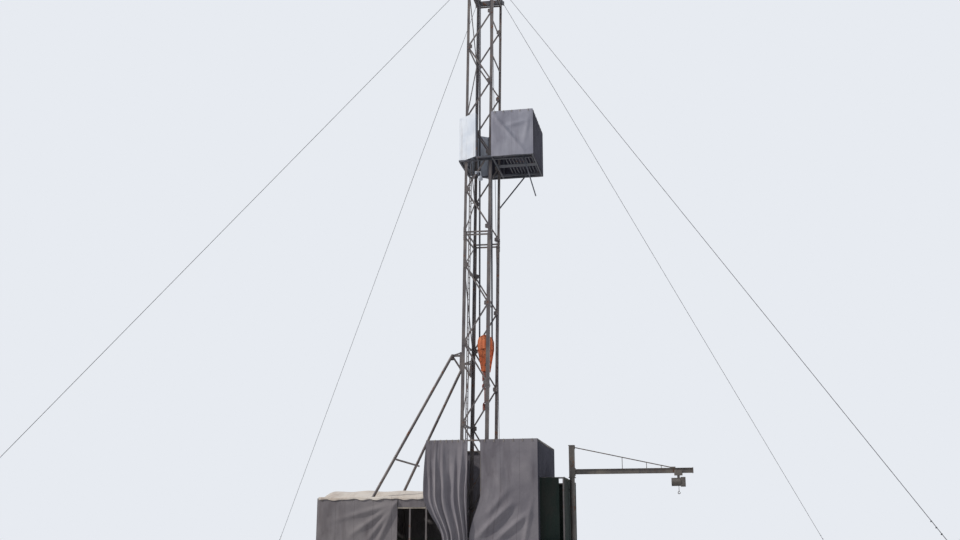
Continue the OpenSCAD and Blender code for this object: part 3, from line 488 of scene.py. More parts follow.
HOOK_PAINT = worn_paint("hook_paint", paint=(0.16, 0.035, 0.025), faded=(0.24, 0.07, 0.05),
                        dirt=(0.04, 0.02, 0.02), rust=(0.16, 0.07, 0.04), rust_from=0.62)
JIB_PAINT = worn_paint("jib_paint", paint=(0.105, 0.095, 0.09), faded=(0.19, 0.165, 0.14),
                       dirt=(0.04, 0.035, 0.045), rust=(0.18, 0.09, 0.055))
PANEL_PAINT = worn_paint("panel_paint", paint=(0.50, 0.55, 0.63), faded=(0.60, 0.64, 0.70),
                         dirt=(0.30, 0.28, 0.28), rust=(0.33, 0.22, 0.15), rust_from=0.70)
ANCHOR_PAINT = worn_paint("anchor_paint", paint=(0.15, 0.12, 0.10), faded=(0.22, 0.17, 0.13),
                          dirt=(0.08, 0.06, 0.05), rust=(0.24, 0.12, 0.06), rust_from=0.50)
DECK_PLATE = deck_steel("deck_plate")
ROPE_STEEL = wire_rope("greased_rope", (0.10, 0.10, 0.12), (0.035, 0.035, 0.04))
WALL_CANVAS = canvas_cloth("wall_canvas", cloth=(0.185, 0.172, 0.195), faded=(0.275, 0.255, 0.275),
                           stain=(0.10, 0.085, 0.10))
MACHINERY_CANVAS = canvas_cloth("machinery_canvas", cloth=(0.185, 0.168, 0.178), faded=(0.272, 0.248, 0.252),
                                stain=(0.10, 0.083, 0.088))
# Painted shade: the wall canvas's cloth, darkened to stand in for the shadow on faces turned away from the
# sun
FRONT_CANVAS_PAINTED_SHADE = canvas_cloth("front_canvas_painted_shade", cloth=(0.050, 0.050, 0.068), faded=(0.085, 0.082, 0.108),
                            stain=(0.03, 0.028, 0.038), nap=0.02, gloss=0.15)
PORCH_TARP = canvas_cloth("porch_tarp", cloth=(0.018, 0.030, 0.026), faded=(0.035, 0.050, 0.042),
                          stain=(0.05, 0.045, 0.04), strip=1.4, nap=0.02, gloss=0.2)
ROOF_TARP = canvas_cloth("roof_tarp", cloth=(0.74, 0.65, 0.55), faded=(0.86, 0.80, 0.72),
                         stain=(0.46, 0.34, 0.27), strip=1.2)
BOARD_CANVAS = canvas_cloth("board_canvas", cloth=(0.33, 0.335, 0.40), faded=(0.43, 0.43, 0.49),
                            stain=(0.20, 0.19, 0.24), strip=1.05)
LASHING = worn_paint("lashing_rope", paint=(0.30, 0.26, 0.20), faded=(0.42, 0.37, 0.29),
                     dirt=(0.16, 0.13, 0.10), rust=(0.24, 0.18, 0.13), rust_from=0.8, metallic=0.0)

SLOT_MATERIALS = {
    "skid_steel": SKID_PAINT,
    "deck_plate": DECK_PLATE,
    "frame_steel": FRAME_PAINT,
    "wall_canvas": WALL_CANVAS,
    "porch_canvas": PORCH_TARP,
    "roof_canvas": ROOF_TARP,
    "mast_steel": MAST_PAINT,
    "board_steel": DARK_PAINT,
    "board_canvas": BOARD_CANVAS,
    "board_panel": PANEL_PAINT,
    "crown_steel": CROWN_PAINT,
    "wire_line": ROPE_STEEL,
    "block_paint": BLOCK_PAINT,
    "hook_paint": HOOK_PAINT,
    "jib_paint": JIB_PAINT,
    "anchor_steel": ANCHOR_PAINT,
}
NODE_MATERIALS = {"wall_posts": POST_PAINT, "wall_rails": POST_PAINT, "machinery_posts": POST_PAINT}


def dress_nodes():
    """Every node of the model gets the material of its slot, or its own."""
    for part in record["subparts"]:
        obj = frame["nodes"].get(part["node"])
        if obj is None:
            continue
        material = NODE_MATERIALS.get(part["node"], SLOT_MATERIALS[part["material_slot"]])
        obj.data.materials.clear()
        obj.data.materials.append(material)
        for face in obj.data.polygons:
            face.material_index = 0


dress_nodes()

# Canvas

CLOTH_THICK = 0.005
COLUMN_STEP = 0.055
ROW_STEP = 0.07
TIE_SAG = 0.018
PINNED_RUN = 0.30
CORNER_LAP = 0.012


def crease(x, z, start, end, width, height):
    """A long fold from start to end in the wall's plane, highest along its line."""
    a, b, p = Vector(start), Vector(end), Vector((x, z))
    run = b - a
    t = max(0.0, min(1.0, (p - a).dot(run) / run.length_squared))
    away = (p - a - run * t).length
    fade = math.sin(math.pi * min(1.0, max(0.0, 0.08 + 0.84 * t)))
    return height * fade * math.exp(-((away / width) ** 2))


def billow(a, b, seed, size, height):
    """Smooth dents and bulges, with finer crumpling on them."""
    broad = noise.noise(Vector((a / size, b / size, seed)))
    fine = noise.noise(Vector((a / (size * 0.22), b / (size * 0.3), seed + 7)))
    return height * (0.5 + 0.75 * broad + 0.16 * fine)


def cut_faces(obj, cut):
    """Takes out the faces whose centre lies in the cut-out."""
    select_faces(obj, lambda face: cut(face.center))
    bpy.ops.mesh.delete(type="FACE")
    bpy.ops.object.mode_set(mode="OBJECT")


def cloth_piece(name, columns, rows, place, size, outward, material, flat_length, nodes,
                cut=None):
    """A sheet of cloth: place(u, w) gives the point at u along it and w down it."""
    clear_selection()
    bpy.ops.mesh.primitive_grid_add(x_subdivisions=columns, y_subdivisions=rows, size=1)
    obj = bpy.context.object
    spots = [(v.co.x + 0.5, 0.5 - v.co.y) for v in obj.data.vertices]
    for vertex, (u, w) in zip(obj.data.vertices, spots):
        vertex.co = place(u, w)
    for loop in obj.data.loops:
        u, w = spots[loop.vertex_index]
        obj.data.uv_layers[0].data[loop.index].uv = (u * size[0], w * size[1])
    settle(obj, name)
    obj.data.update()
    if cut:
        cut_faces(obj, cut)
    facing = sum((face.normal * face.area for face in obj.data.polygons), Vector())
    if facing.dot(Vector(outward)) < 0:
        obj.data.flip_normals()
    apply_modifier(obj, "SOLIDIFY", thickness=CLOTH_THICK, offset=0.0)
    finish_piece(obj, "rig", material, smooth=80)
    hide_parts(*nodes)
    return obj


def wall_sheet(name, axis, start, end, bottom, top, plane, out, depth, material, nodes,
               side=None, drop=None, ties=6, free=(False, False)):
    """A canvas wall along X or Y. depth(along, z) is how far it stands off; side(w) moves its ends; drop(u)
    lowers its top. An end that isn't free is pinned to its post."""
    length, height = abs(end - start), top - bottom

    def place(u, w):
        shift = side(w) if side else (0.0, 0.0)
        low, high = start + shift[0], end + shift[1]
        along = low + (high - low) * u
        sag = TIE_SAG * abs(math.sin(math.pi * u * ties)) * max(0.0, 1 - w * 7)
        slack = (drop(u) if drop else 0.0) * max(0.0, 1 - w * 1.3)
        hem = 0.03 * noise.noise(Vector((along * 1.3, plane, 2.0))) * w
        z = top + (bottom - top) * w - sag - slack + hem
        from_start = 1.0 if free[0] else 0.04 + u * length / PINNED_RUN
        from_end = 1.0 if free[1] else 0.04 + (1 - u) * length / PINNED_RUN
        hold = min(1.0, w * 9 + 0.10) * min(1.0, from_start, from_end)
        off = plane + out * (0.006 + max(0.0, depth(along, z)) * hold)
        return (along, off, z) if axis == "X" else (off, along, z)

    outward = (0, out, 0) if axis == "X" else (out, 0, 0)
    columns, rows = max(10, round(length / COLUMN_STEP)), max(10, round(height / ROW_STEP))
    return cloth_piece(name, columns, rows, place, (length, height), outward, material, height,
                       nodes)


def eased(t):
    """From 0 to 1, slow at both ends."""
    t = max(0.0, min(1.0, t))
    return t * t * (3 - 2 * t)


CURTAIN_CLOTH = 3.3
FOLDS = 6.2
FOLD_DEEP = 0.135
FOOT_DRAWN = 0.85
FOOT_LIFT = 0.10


def floor_curtain():
    """The gathered curtain: deep folds from the rail, drawn to the front at its foot."""
    top, bottom = WALL_TOP, CANVAS_LOW
    left, right = FLOOR_BACK, CURTAIN_END

    def place(u, w):
        foot = eased((w - 0.45) / 0.42)
        low = left - 0.10 * math.sin(math.pi * min(1.0, w / 0.8)) + FOOT_DRAWN * foot
        high = right + 0.03 * math.sin(6 * w) + 0.10 * foot
        along = low + (high - low) * u
        drift = 0.55 * noise.noise(Vector((u * 2.4, w * 1.3, 6.0)))
        turn = 2 * math.pi * (FOLDS * u + 0.5 * math.sin(4.1 * u + 0.6) + drift * min(1.0, 2.5 * w))
        wide = 0.5 + 0.5 * math.cos(turn)
        minor = 0.5 + 0.5 * math.cos(2.3 * turn + 5 * w + 1.0)
        uneven = 0.62 + 0.75 * noise.noise(Vector((u * 4.0, w * 1.1, 9.0)))
        deep = (0.02 + FOLD_DEEP * eased(w * 2.4) + 0.05 * foot) * max(0.25, min(1.15, uneven + 0.2))
        off = deep * (0.86 * wide ** 1.4 + 0.16 * minor) + 0.12 * foot * (1 - u)
        crumple = 0.016 * noise.noise(Vector((along * 3.2, w * 5.0, 4.0)))
        z = top + (bottom - top) * w - 0.03 * abs(math.sin(math.pi * 7.3 * u)) * max(0.0, 1 - 8 * w)
        z += FOOT_LIFT * foot * (1 - u)
        return (along, NEAR_PLANE - 0.010 - off - crumple * min(1.0, 6 * w), z)

    return cloth_piece("floor_curtain", 150, 90, place, (CURTAIN_CLOTH, top - bottom), (0, -1, 0),
                       WALL_CANVAS, top - bottom, ["curtain_near"])


def near_depth(x, z):
    """Long folds up from the free foot to the front, one down from the rail, and a hollow between them."""
    off = billow(x, z, 1.3, 1.5, 0.055)
    off += crease(x, z, (0.15, 2.15), (1.75, 3.65), 0.15, 0.16)
    off += crease(x, z, (1.0, 2.0), (2.55, 3.25), 0.13, 0.12)
    off += crease(x, z, (0.55, 3.1), (1.65, 4.35), 0.16, 0.07)
    off += crease(x, z, (2.3, 1.6), (2.75, 3.9), 0.10, 0.06)
    off += crease(x, z, (1.15, 5.6), (1.35, 4.2), 0.22, 0.05)
    off -= crease(x, z, (0.95, 2.55), (2.05, 3.55), 0.10, 0.06)
    return off


def floor_near_canvas():
    """The main near canvas. Its free edge is drawn back to the curtain's foot."""

    def side(w):
        foot = eased((w - 0.42) / 0.42)
        return (-0.52 * foot + 0.05 * math.sin(5 * w) * (1 - foot), 0.0)

    return wall_sheet("floor_near_canvas", "X", GAP_END, FLOOR_FRONT + CORNER_LAP, CANVAS_LOW, WALL_TOP,
                      NEAR_PLANE, -1, near_depth, WALL_CANVAS, ["canvas_near"],
                      side=side, free=(True, False))


def plain_depth(seed, height, size=1.4):
    """The depth of a canvas with no fold of its own."""
    return lambda a, z: billow(a, z, seed, size, height)


def floor_canvases():
    floor_curtain()
    floor_near_canvas()
    wall_sheet("floor_far_canvas", "X", FLOOR_BACK, FLOOR_FRONT, CANVAS_LOW, WALL_TOP, HALF_WIDTH, 1,
               plain_depth(3.1, 0.08), WALL_CANVAS, ["canvas_far"], ties=11)
    wall_sheet("floor_back_canvas", "Y", -HALF_WIDTH, HALF_WIDTH, MACHINERY_TOP + RAIL, WALL_TOP, FLOOR_BACK,
               -1, plain_depth(5.2, 0.035), WALL_CANVAS, ["canvas_back"], ties=12)
    # The front face and its flaps are in the painted-shade copy of the wall canvas
    wall_sheet("floor_front_canvas", "Y", -HALF_WIDTH, HALF_WIDTH, PORCH_TOP, WALL_TOP, FLOOR_FRONT, 1,
               plain_depth(8.4, 0.05), FRONT_CANVAS_PAINTED_SHADE, ["canvas_front"],
               drop=lambda u: 0.10 * math.sin(math.pi * u) ** 2, ties=12)
    inner = PORCH_SIDE + 0.014
    for name, low, high in (("near", -HALF_WIDTH, -inner), ("far", inner, HALF_WIDTH)):
        wall_sheet(f"front_flap_{name}", "Y", low, high, DECK_UNDER, PORCH_TOP + 0.06, FLOOR_FRONT, 1,
                   plain_depth(9.7, 0.03, 0.6), FRONT_CANVAS_PAINTED_SHADE,
                   ["canvas_front"], ties=1)


def porch_canvases():
    node = ["porch_canvas"]
    side_end = PORCH_FRONT - RAIL - PORCH_SLIT
    wall_sheet("porch_near_tarp", "X", PORCH_BACK, side_end, CANVAS_LOW, PORCH_TOP, -PORCH_SIDE, -1,
               plain_depth(2.2, 0.03, 0.7), PORCH_TARP, node, ties=2)
    wall_sheet("porch_far_tarp", "X", PORCH_BACK, PORCH_FRONT, DECK_UNDER, PORCH_TOP, PORCH_SIDE, 1,
               plain_depth(2.9, 0.04, 0.7), PORCH_TARP, node, ties=2)
    wall_sheet("porch_front_tarp", "Y", -PORCH_SIDE, PORCH_SIDE, CANVAS_LOW, PORCH_TOP, PORCH_FRONT, 1,
               plain_depth(6.6, 0.04, 1.1), PORCH_TARP, node, ties=8)


def machinery_depth(x, z):
    """Folds that fan out from the canvas's corner at the door's head."""
    off = billow(x, z, 6.1, 1.3, 0.05)
    for reach, drop in ((-5.9, 2.3), (-5.2, 1.9), (-4.7, 1.7), (-6.6, 3.0)):
        off += crease(x, z, (DOOR_START - 0.02, 3.75), (reach, drop), 0.12, 0.09)
    return off


def machinery_canvases():
    low, top = CANVAS_LOW, MACHINERY_TOP
    wall_sheet("machinery_near_canvas", "X", MACHINERY_BACK - 0.01, DOOR_START, low, top, NEAR_PLANE, -1,
               machinery_depth, MACHINERY_CANVAS, ["machinery_canvas_near"], ties=8,
               free=(False, True))
    wall_sheet("door_head_canvas", "X", DOOR_START + 0.01, FLOOR_BACK - 0.02, LINTEL_TOP - 0.03, top,
               NEAR_PLANE, -1, plain_depth(4.4, 0.02, 0.5), MACHINERY_CANVAS,
               ["machinery_canvas_near"], ties=3)
    wall_sheet("machinery_back_canvas", "Y", -HALF_WIDTH, HALF_WIDTH, low, top, MACHINERY_BACK, -1,
               plain_depth(7.5, 0.07), MACHINERY_CANVAS, ["machinery_canvas_back"],
               ties=12)
    wall_sheet("machinery_far_canvas", "X", MACHINERY_BACK, FLOOR_BACK - 0.02, low, top, HALF_WIDTH, 1,
               plain_depth(1.9, 0.07), MACHINERY_CANVAS, ["machinery_canvas_far"],
               ties=10)


BOW_END = 2.2
ROOF_BAYS = 3
ROOF_LIFT = 0.036
HEM_SHARE = 0.055
HEM_OUT = 0.062
HEM_DROP = 0.115
HEM_LENGTH = 0.15
BRACE_SLOT = 0.16
BRACE_CROSSING = (-5.04, 2.37)


def roof_sheet():
    """The pale roof canvas: it hangs a little between its bows, its hems fall over the walls' rails, and it
    is cut out where the braces pass."""
    low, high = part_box("roof_canvas")
    length, width = high.x - low.x, high.y - low.y
    crown = high.z - 0.006
    edge = low.z + ROOF_LIFT

    def place(u, w):
        x = low.x + length * u
        y = low.y + width * max(0.0, min(1.0, (w - HEM_SHARE) / (1 - 2 * HEM_SHARE)))
        arch = edge + (crown - edge) * (1 - min(1.0, abs(y) / BOW_END) ** 2)
        outside = max(0.0, abs(y) - BOW_END) / (width / 2 - BOW_END)
        between = 0.5 - 0.5 * math.cos(2 * math.pi * (ROOF_BAYS * u))
        broad = 0.022 * noise.noise(Vector((x * 1.6, y * 1.2, 3.0)))
        crumple = broad + 0.010 * noise.noise(Vector((x * 5, y * 4, 1.0)))
        hang = -0.05 * between * math.cos(math.pi * y / width)
        hem = -0.042 * between * outside ** 2
        z = arch - 0.03 * outside + hang + hem + (crumple + 0.012) * min(1.0, 8 * u + 0.3, 8 * (1 - u) + 0.3)
        over = max(0.0, HEM_SHARE - min(w, 1 - w)) / HEM_SHARE
        z = max(z, low.z - ROOF_LIFT) if over else z
        ripple = 0.010 * math.sin(9.0 * x) + 0.012 * noise.noise(Vector((x * 2.5, w, 8.0)))
        stand = (HEM_OUT + ripple * over) * math.sin(0.5 * math.pi * min(1.0, 2.0 * over))
        fall = (HEM_DROP + 2 * ripple) * over ** 1.5
        return (x, y + math.copysign(stand, y), z - fall)

    def cut(spot):
        along, across = abs(spot.x - BRACE_CROSSING[0]), abs(abs(spot.y) - BRACE_CROSSING[1])
        return along < BRACE_SLOT and across < BRACE_SLOT

    flat_width = width + 2 * HEM_LENGTH
    return cloth_piece("roof_sheet", 110, 124, place, (length, flat_width), (0, 0, 1), ROOF_TARP,
                       flat_width, ["roof_canvas"], cut=cut)


BOARD_LOW, BOARD_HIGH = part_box("board_canvas_near")
BOARD_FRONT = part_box("board_canvas_front")[0].x
BOARD_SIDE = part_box("board_posts")[1].y
BOARD_FAR_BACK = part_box("board_canvas_far")[0].x


def board_depth(x, z):
    """One deep fold down from the back corner of the top, and two lesser ones."""
    mid = (BOARD_LOW.z + BOARD_HIGH.z) / 2
    off = billow(x, z, 4.2, 1.0, 0.03)
    off += crease(x, z, (BOARD_LOW.x - 0.05, BOARD_HIGH.z), (2.35, BOARD_LOW.z + 0.2), 0.085, 0.11)
    off += crease(x, z, (1.35, mid + 0.35), (2.6, mid + 0.6), 0.10, 0.05)
    off += crease(x, z, (2.3, mid - 0.75), (2.65, mid + 0.9), 0.12, 0.04)
    return off


def board_canvases():
    low, top = BOARD_LOW.z, BOARD_HIGH.z
    corner = BOARD_FRONT + CORNER_LAP
    wall_sheet("board_near_sheet", "X", BOARD_LOW.x, corner, low, top, -BOARD_SIDE, -1, board_depth,
               BOARD_CANVAS, ["board_canvas_near"], ties=5)
    # The board's front sheet and the inside of its far sheet are in the painted-shade canvas, darkened to
    # stand in for shadow
    wall_sheet("board_front_sheet", "Y", -BOARD_SIDE, BOARD_SIDE, low, top, BOARD_FRONT, 1,
               plain_depth(5.5, 0.04, 1.0), FRONT_CANVAS_PAINTED_SHADE, ["board_canvas_front"],
               ties=7)
    wall_sheet("board_far_sheet", "X", BOARD_FAR_BACK, corner, low, top, BOARD_SIDE, 1,
               plain_depth(6.8, 0.04, 1.0), FRONT_CANVAS_PAINTED_SHADE, ["board_canvas_far"],
               ties=6)


floor_canvases()
porch_canvases()
machinery_canvases()
roof_sheet()
board_canvases()

# Lashings that tie each canvas to its rail

LASH_RADIUS = 0.058
LASH_ROPE = 0.006
LASH_TURNS = {("X", -1): 0, ("X", 1): math.pi, ("Y", 1): math.pi / 2, ("Y", -1): -math.pi / 2}


def lashing():
    """One loop of rope with its knot and two tails, round a rail that runs along X, centred on the origin."""
    loop = ring_piece("loop", LASH_RADIUS, LASH_ROPE, 20, 6, turn=(0, math.pi / 2, 0))
    bpy.ops.object.mode_set(mode="EDIT")
    bpy.ops.mesh.select_all(action="SELECT")
    bpy.ops.transform.resize(value=(1.0, 1.02, 0.98))
    bpy.ops.object.mode_set(mode="OBJECT")
    clear_selection()
    bpy.ops.mesh.primitive_uv_sphere_add(segments=8, ring_count=6, radius=0.013, location=(0, -0.062, -0.012))
    knot = bpy.context.object
    knot.scale = (1.2, 0.8, 0.9)
    settle(knot, "knot")
    tails = [tube_piece("tail", (0, -0.064, -0.014), (0.03 * s, -0.074, -0.10), 0.005, 6) for s in (-1, 1)]
    return joined([loop, knot, *tails], "lashing")


def lash_row(name, axis, start, end, side, level, out, count):
    """Lashings at even steps along a rail."""
    turn = Matrix.Rotation(LASH_TURNS[(axis, out)], 4, "Z")
    places = []
    for i in range(count):
        along = start + (end - start) * (i + 0.5) / count
        spot = (along, side, level) if axis == "X" else (side, along, level)
        places.append(Matrix.Translation(spot) @ turn)
    row = repeated(lashing(), places, name)
    return finish_piece(row, "rig", LASHING, smooth=60)


def lashings():
    rail = RAIL / 2
    near, far = -HALF_WIDTH + rail, HALF_WIDTH - rail
    high = WALL_TOP - rail
    lash_row("lashings_curtain", "X", FLOOR_BACK, CURTAIN_END, near, high, -1, 7)
    lash_row("lashings_near", "X", GAP_END, FLOOR_FRONT, near, high, -1, 6)
    lash_row("lashings_far", "X", FLOOR_BACK, FLOOR_FRONT, far, high, 1, 11)
    lash_row("lashings_front", "Y", near, far, FLOOR_FRONT - rail, high, 1, 12)
    lash_row("lashings_back", "Y", near, far, FLOOR_BACK + rail, high, -1, 12)
    low = MACHINERY_TOP - rail
    lash_row("lashings_machinery_near", "X", MACHINERY_BACK, DOOR_START, near, low, -1, 8)
    lash_row("lashings_machinery_far", "X", MACHINERY_BACK, FLOOR_BACK, far, low, 1, 10)
    lash_row("lashings_machinery_back", "Y", near, far, MACHINERY_BACK + rail, low, -1, 12)
    porch = PORCH_TOP - rail
    lash_row("lashings_porch", "Y", -PORCH_SIDE, PORCH_SIDE, PORCH_FRONT - rail, porch, 1, 8)
    board = BOARD_HIGH.z - rail
    side = BOARD_SIDE - rail
    lash_row("lashings_board_near", "X", BOARD_LOW.x, BOARD_FRONT, -side, board, -1, 5)
    lash_row("lashings_board_far", "X", BOARD_FAR_BACK, BOARD_FRONT, side, board, 1, 6)
    lash_row("lashings_board_front", "Y", -side, side, BOARD_FRONT - rail, board, 1, 7)


lashings()

# Lines that stretch between the crown and the block

LINE_RADIUS = 0.013
LINE_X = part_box("drilling_lines")[1].x - LINE_RADIUS
LINE_LOW, LINE_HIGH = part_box("drilling_lines")[0].z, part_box("drilling_lines")[1].z
BLOCK_SHEAVES = 4
BLOCK_PITCH = 0.10
CROWN_PITCH = 0.15


def drilling_ropes():
    """Eight parts of line, from the crown's sheaves down to the block's."""
    ropes = []
    for i in range(BLOCK_SHEAVES):
        low_y = (i - (BLOCK_SHEAVES - 1) / 2) * BLOCK_PITCH
        first = (i - BLOCK_SHEAVES / 2) * CROWN_PITCH
        for side, high_y in ((1, first), (-1, first + CROWN_PITCH)):
            foot, head = (side * LINE_X, low_y, LINE_LOW), (side * LINE_X, high_y, LINE_HIGH)
            ropes.append(tube_piece("rope", foot, head, LINE_RADIUS, 10, 0.002))
    rope = joined(ropes, "drilling_ropes")
    rope.data.materials.clear()
    rope.data.materials.append(ROPE_STEEL)
    pick(rope)
    bpy.ops.object.shade_smooth_by_angle(angle=math.radians(50))
    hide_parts("drilling_lines")
    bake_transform(rope)


drilling_ropes()

# Bolts, gussets and splices

MAST_BACK = 0.4
MAST_FOOT = 2.06
MAST_HEIGHT = 29.2
SHAFT_HEIGHT = 29.8803
MAST_LEAN = math.asin(MAST_BACK / SHAFT_HEIGHT)
MAST_DEEP = 0.7
MAST_WIDE = 1.3
SPLICE = 15.2
FIRST_NODE = 1.55
BAY = 4.0
BAYS = 7
LEAN = Matrix.Translation((-MAST_BACK, 0, MAST_FOOT)) @ Matrix.Rotation(MAST_LEAN, 4, "Y")
CORNERS = ((1, 1), (1, -1), (-1, 1), (-1, -1))
UP = (0, 0, 1)


def hex_bolt(spot, radius=0.016, height=0.014, facing=(0, -1, 0)):
    """A hexagon head on its washer, standing off a face."""
    spot, facing = Vector(spot), Vector(facing)
    washer = tube_piece("washer", spot - facing * 0.002, spot + facing * 0.003, radius * 1.35, 12, 0.001)
    head = tube_piece("head", spot + facing * 0.002, spot + facing * height, radius, 6, 0.002)
    return joined([head, washer], "bolt")


SEAT_GAP = 0.0004
GUSSET_THICK = 0.012
GUSSET_END = 0.29
SPLICE_THICK = 0.014


def gusset():
    """A tapered plate with its bolts, on a leg's outer edge: X runs in from the leg, -Y out of the face."""
    plate = box_piece("plate", (0.01, -GUSSET_THICK, -0.19), (GUSSET_END, -SEAT_GAP, 0.19), 0.002)
    bpy.ops.object.mode_set(mode="EDIT")
    bpy.ops.mesh.select_all(action="DESELECT")
    bpy.ops.object.mode_set(mode="OBJECT")
    for vertex in plate.data.vertices:
        vertex.select = vertex.co.x > 0.2
    bpy.ops.object.mode_set(mode="EDIT")
    bpy.ops.transform.resize(value=(1, 1, 0.5), center_override=(GUSSET_END, 0, 0))
    bpy.ops.object.mode_set(mode="OBJECT")
    spots = [(0.05, 0.0)]
    for x, half in ((0.05, 0.13), (0.14, 0.085), (0.23, 0.05)):
        spots += [(x, -half), (x, half)]
    bolts = [hex_bolt((x, -GUSSET_THICK, z)) for x, z in spots]
    return joined([plate, *bolts], "gusset")


def at_leg(sx, sy, level):
    """The place at a leg's outer corner, turned to run inwards on both axes."""
    corner = Matrix.Translation((-sx * MAST_DEEP, -sy * MAST_WIDE, level))
    return LEAN @ corner @ Matrix.Diagonal((sx, sy, 1, 1))


def mast_gussets():
    """Gussets where the zigzag bars of both sides meet the back legs and, half a bay up, the front ones."""
    places = []
    for k in range(BAYS):
        back = FIRST_NODE + k * BAY
        for side in (1, -1):
            places.append(at_leg(1, side, back))
            places.append(at_leg(-1, side, back + BAY / 2))
    finish_piece(repeated(gusset(), places, "mast_gussets"), "rig", MAST_PAINT)


def splice_plate():
    """A bolted plate over the joint of two leg lengths, in the XZ plane from the leg's edge."""
    plate = box_piece("plate", (0.012, -SPLICE_THICK, -0.36), (0.128, -SEAT_GAP, 0.36), 0.003)
    levels = (-0.30, -0.20, -0.10, 0.10, 0.20, 0.30)
    bolts = [hex_bolt((x, -SPLICE_THICK, z)) for x in (0.042, 0.098) for z in levels]
    return joined([plate, *bolts], "splice_plate")


def mast_splices():
    """Two plates on each leg, one on each of its outer faces."""
    other_face = Matrix(((0, 1, 0, 0), (1, 0, 0, 0), (0, 0, 1, 0), (0, 0, 0, 1)))
    places = []
    for sx, sy in CORNERS:
        leg = at_leg(sx, sy, SPLICE)
        places += [leg, leg @ other_face]
    finish_piece(repeated(splice_plate(), places, "mast_splices"), "rig", MAST_PAINT)


HALF_LEG = 0.085
SHOE_BOLT = 0.13


def shoe_bolts():
    """Four bolts round each leg in its shoe."""
    places = []
    for sx, sy in CORNERS:
        leg_x, leg_y = sx * (MAST_DEEP - HALF_LEG), sy * (MAST_WIDE - HALF_LEG)
        for dx, dy in CORNERS:
            spot = (leg_x + dx * SHOE_BOLT, leg_y + dy * SHOE_BOLT, -0.0003)
            places.append(LEAN @ Matrix.Translation(spot))
    bolt = hex_bolt((0, 0, 0), 0.026, 0.03, UP)
    finish_piece(repeated(bolt, places, "mast_shoe_bolts"), "rig", SKID_PAINT)


BRACE_PIN = Vector((-1.4309, -1.38, 10.9654))
BRACE_FOOT = Vector((-6.1309, -2.67, 2.0))
RING_LEVELS = (5.93, 6.02)
CLAMP_RADIUS = 0.079
CLAMP_ROD = 0.008
FOOT_PLATE = 0.0303


def brace_axis(z, side):
    """The point of a raking brace's axis at a height, on the near side for 1 and the far side for -1."""
    k = (BRACE_PIN.z - z) / (BRACE_PIN.z - BRACE_FOOT.z)
    spot = BRACE_PIN.lerp(BRACE_FOOT, k)
    spot.y *= side
    return spot


def brace_clamps():
    """Two rings where the link meets each brace, and four bolts in each foot plate."""
    pieces = []
    for side in (1, -1):
        head, foot = brace_axis(BRACE_PIN.z, side), brace_axis(BRACE_FOOT.z, side)
        turn = along_axis(head - foot)
        for level in RING_LEVELS:
            ring = ring_piece("ring", CLAMP_RADIUS, CLAMP_ROD, 28, 8)
            ring.data.transform(Matrix.Translation(brace_axis(level, side)) @ turn)
            pieces.append(ring)
        for dx in (-0.16, 0.16):
            for dy in (-0.09, 0.09):
                spot = (foot.x + dx, foot.y + dy, BRACE_FOOT.z + FOOT_PLATE)
                pieces.append(hex_bolt(spot, 0.02, 0.022, UP))
    finish_piece(joined(pieces, "brace_clamps"), "rig", MAST_PAINT)


BLOCK_CENTRE = 11.8
CHEEK_FACE = 0.23
CHEEK_BOLTS = 0.345


def block_bolts():
    """Bolts round the head of each cheek of the block, and down its tapering edges."""
    spots = []
    for degrees in (62, 90, 118):
        angle = math.radians(degrees)
        spots.append((CHEEK_BOLTS * math.cos(angle), BLOCK_CENTRE + CHEEK_BOLTS * math.sin(angle)))
    for x, drop in ((0.33, 0.42), (0.285, 0.72), (0.24, 1.0), (0.195, 1.3)):
        spots += [(x, BLOCK_CENTRE - drop), (-x, BLOCK_CENTRE - drop)]
    bolts = []
    for sign in (1, -1):
        bolts += [hex_bolt((x, -sign * CHEEK_FACE, z), 0.02, 0.02, (0, -sign, 0)) for x, z in spots]
    finish_piece(joined(bolts, "block_bolts"), "block", HOOK_PAINT)


BOOM_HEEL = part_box("jib_boom")[0].x + 0.024
BOOM_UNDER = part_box("jib_boom")[0].z + 0.06
BOOM_Y = -0.8
HEEL_HALF = 0.085
FOOT_INSET = 0.05
JIB_FOOT_THICK = 0.03


def jib_bolts():
    """Bolts of the boom's heel plate, and anchor nuts on the pillar's base."""
    heel = [hex_bolt((BOOM_HEEL, BOOM_Y + dy, BOOM_UNDER + dz), 0.016, 0.016, (1, 0, 0))
            for dy in (-HEEL_HALF, HEEL_HALF) for dz in (-0.035, 0.12, 0.275)]
    finish_piece(joined(heel, "jib_heel_bolts"), "jib", JIB_PAINT)
    low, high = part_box("jib_pillar")
    feet = []
    for x in (low.x + FOOT_INSET, (low.x + high.x) / 2 + 0.08, high.x - FOOT_INSET):
        for y in (low.y + FOOT_INSET, high.y - FOOT_INSET):
            feet.append(hex_bolt((x, y, JIB_FOOT_THICK), 0.024, 0.03, UP))
    finish_piece(joined(feet, "jib_anchor_nuts"), "rig", JIB_PAINT)


TROLLEY_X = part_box("hoist_trolley")[0].x + 0.33
TROLLEY_DEEP = 0.11
DRUM_DROP = 0.30
DRUM_RADIUS = 0.19
RIBS = 8
RIBS_BACK = 0.30
RIB_PITCH = 0.045
RIB_ROD = 0.007
CASE_FACE = 0.1395
COVER_FACE = 0.152


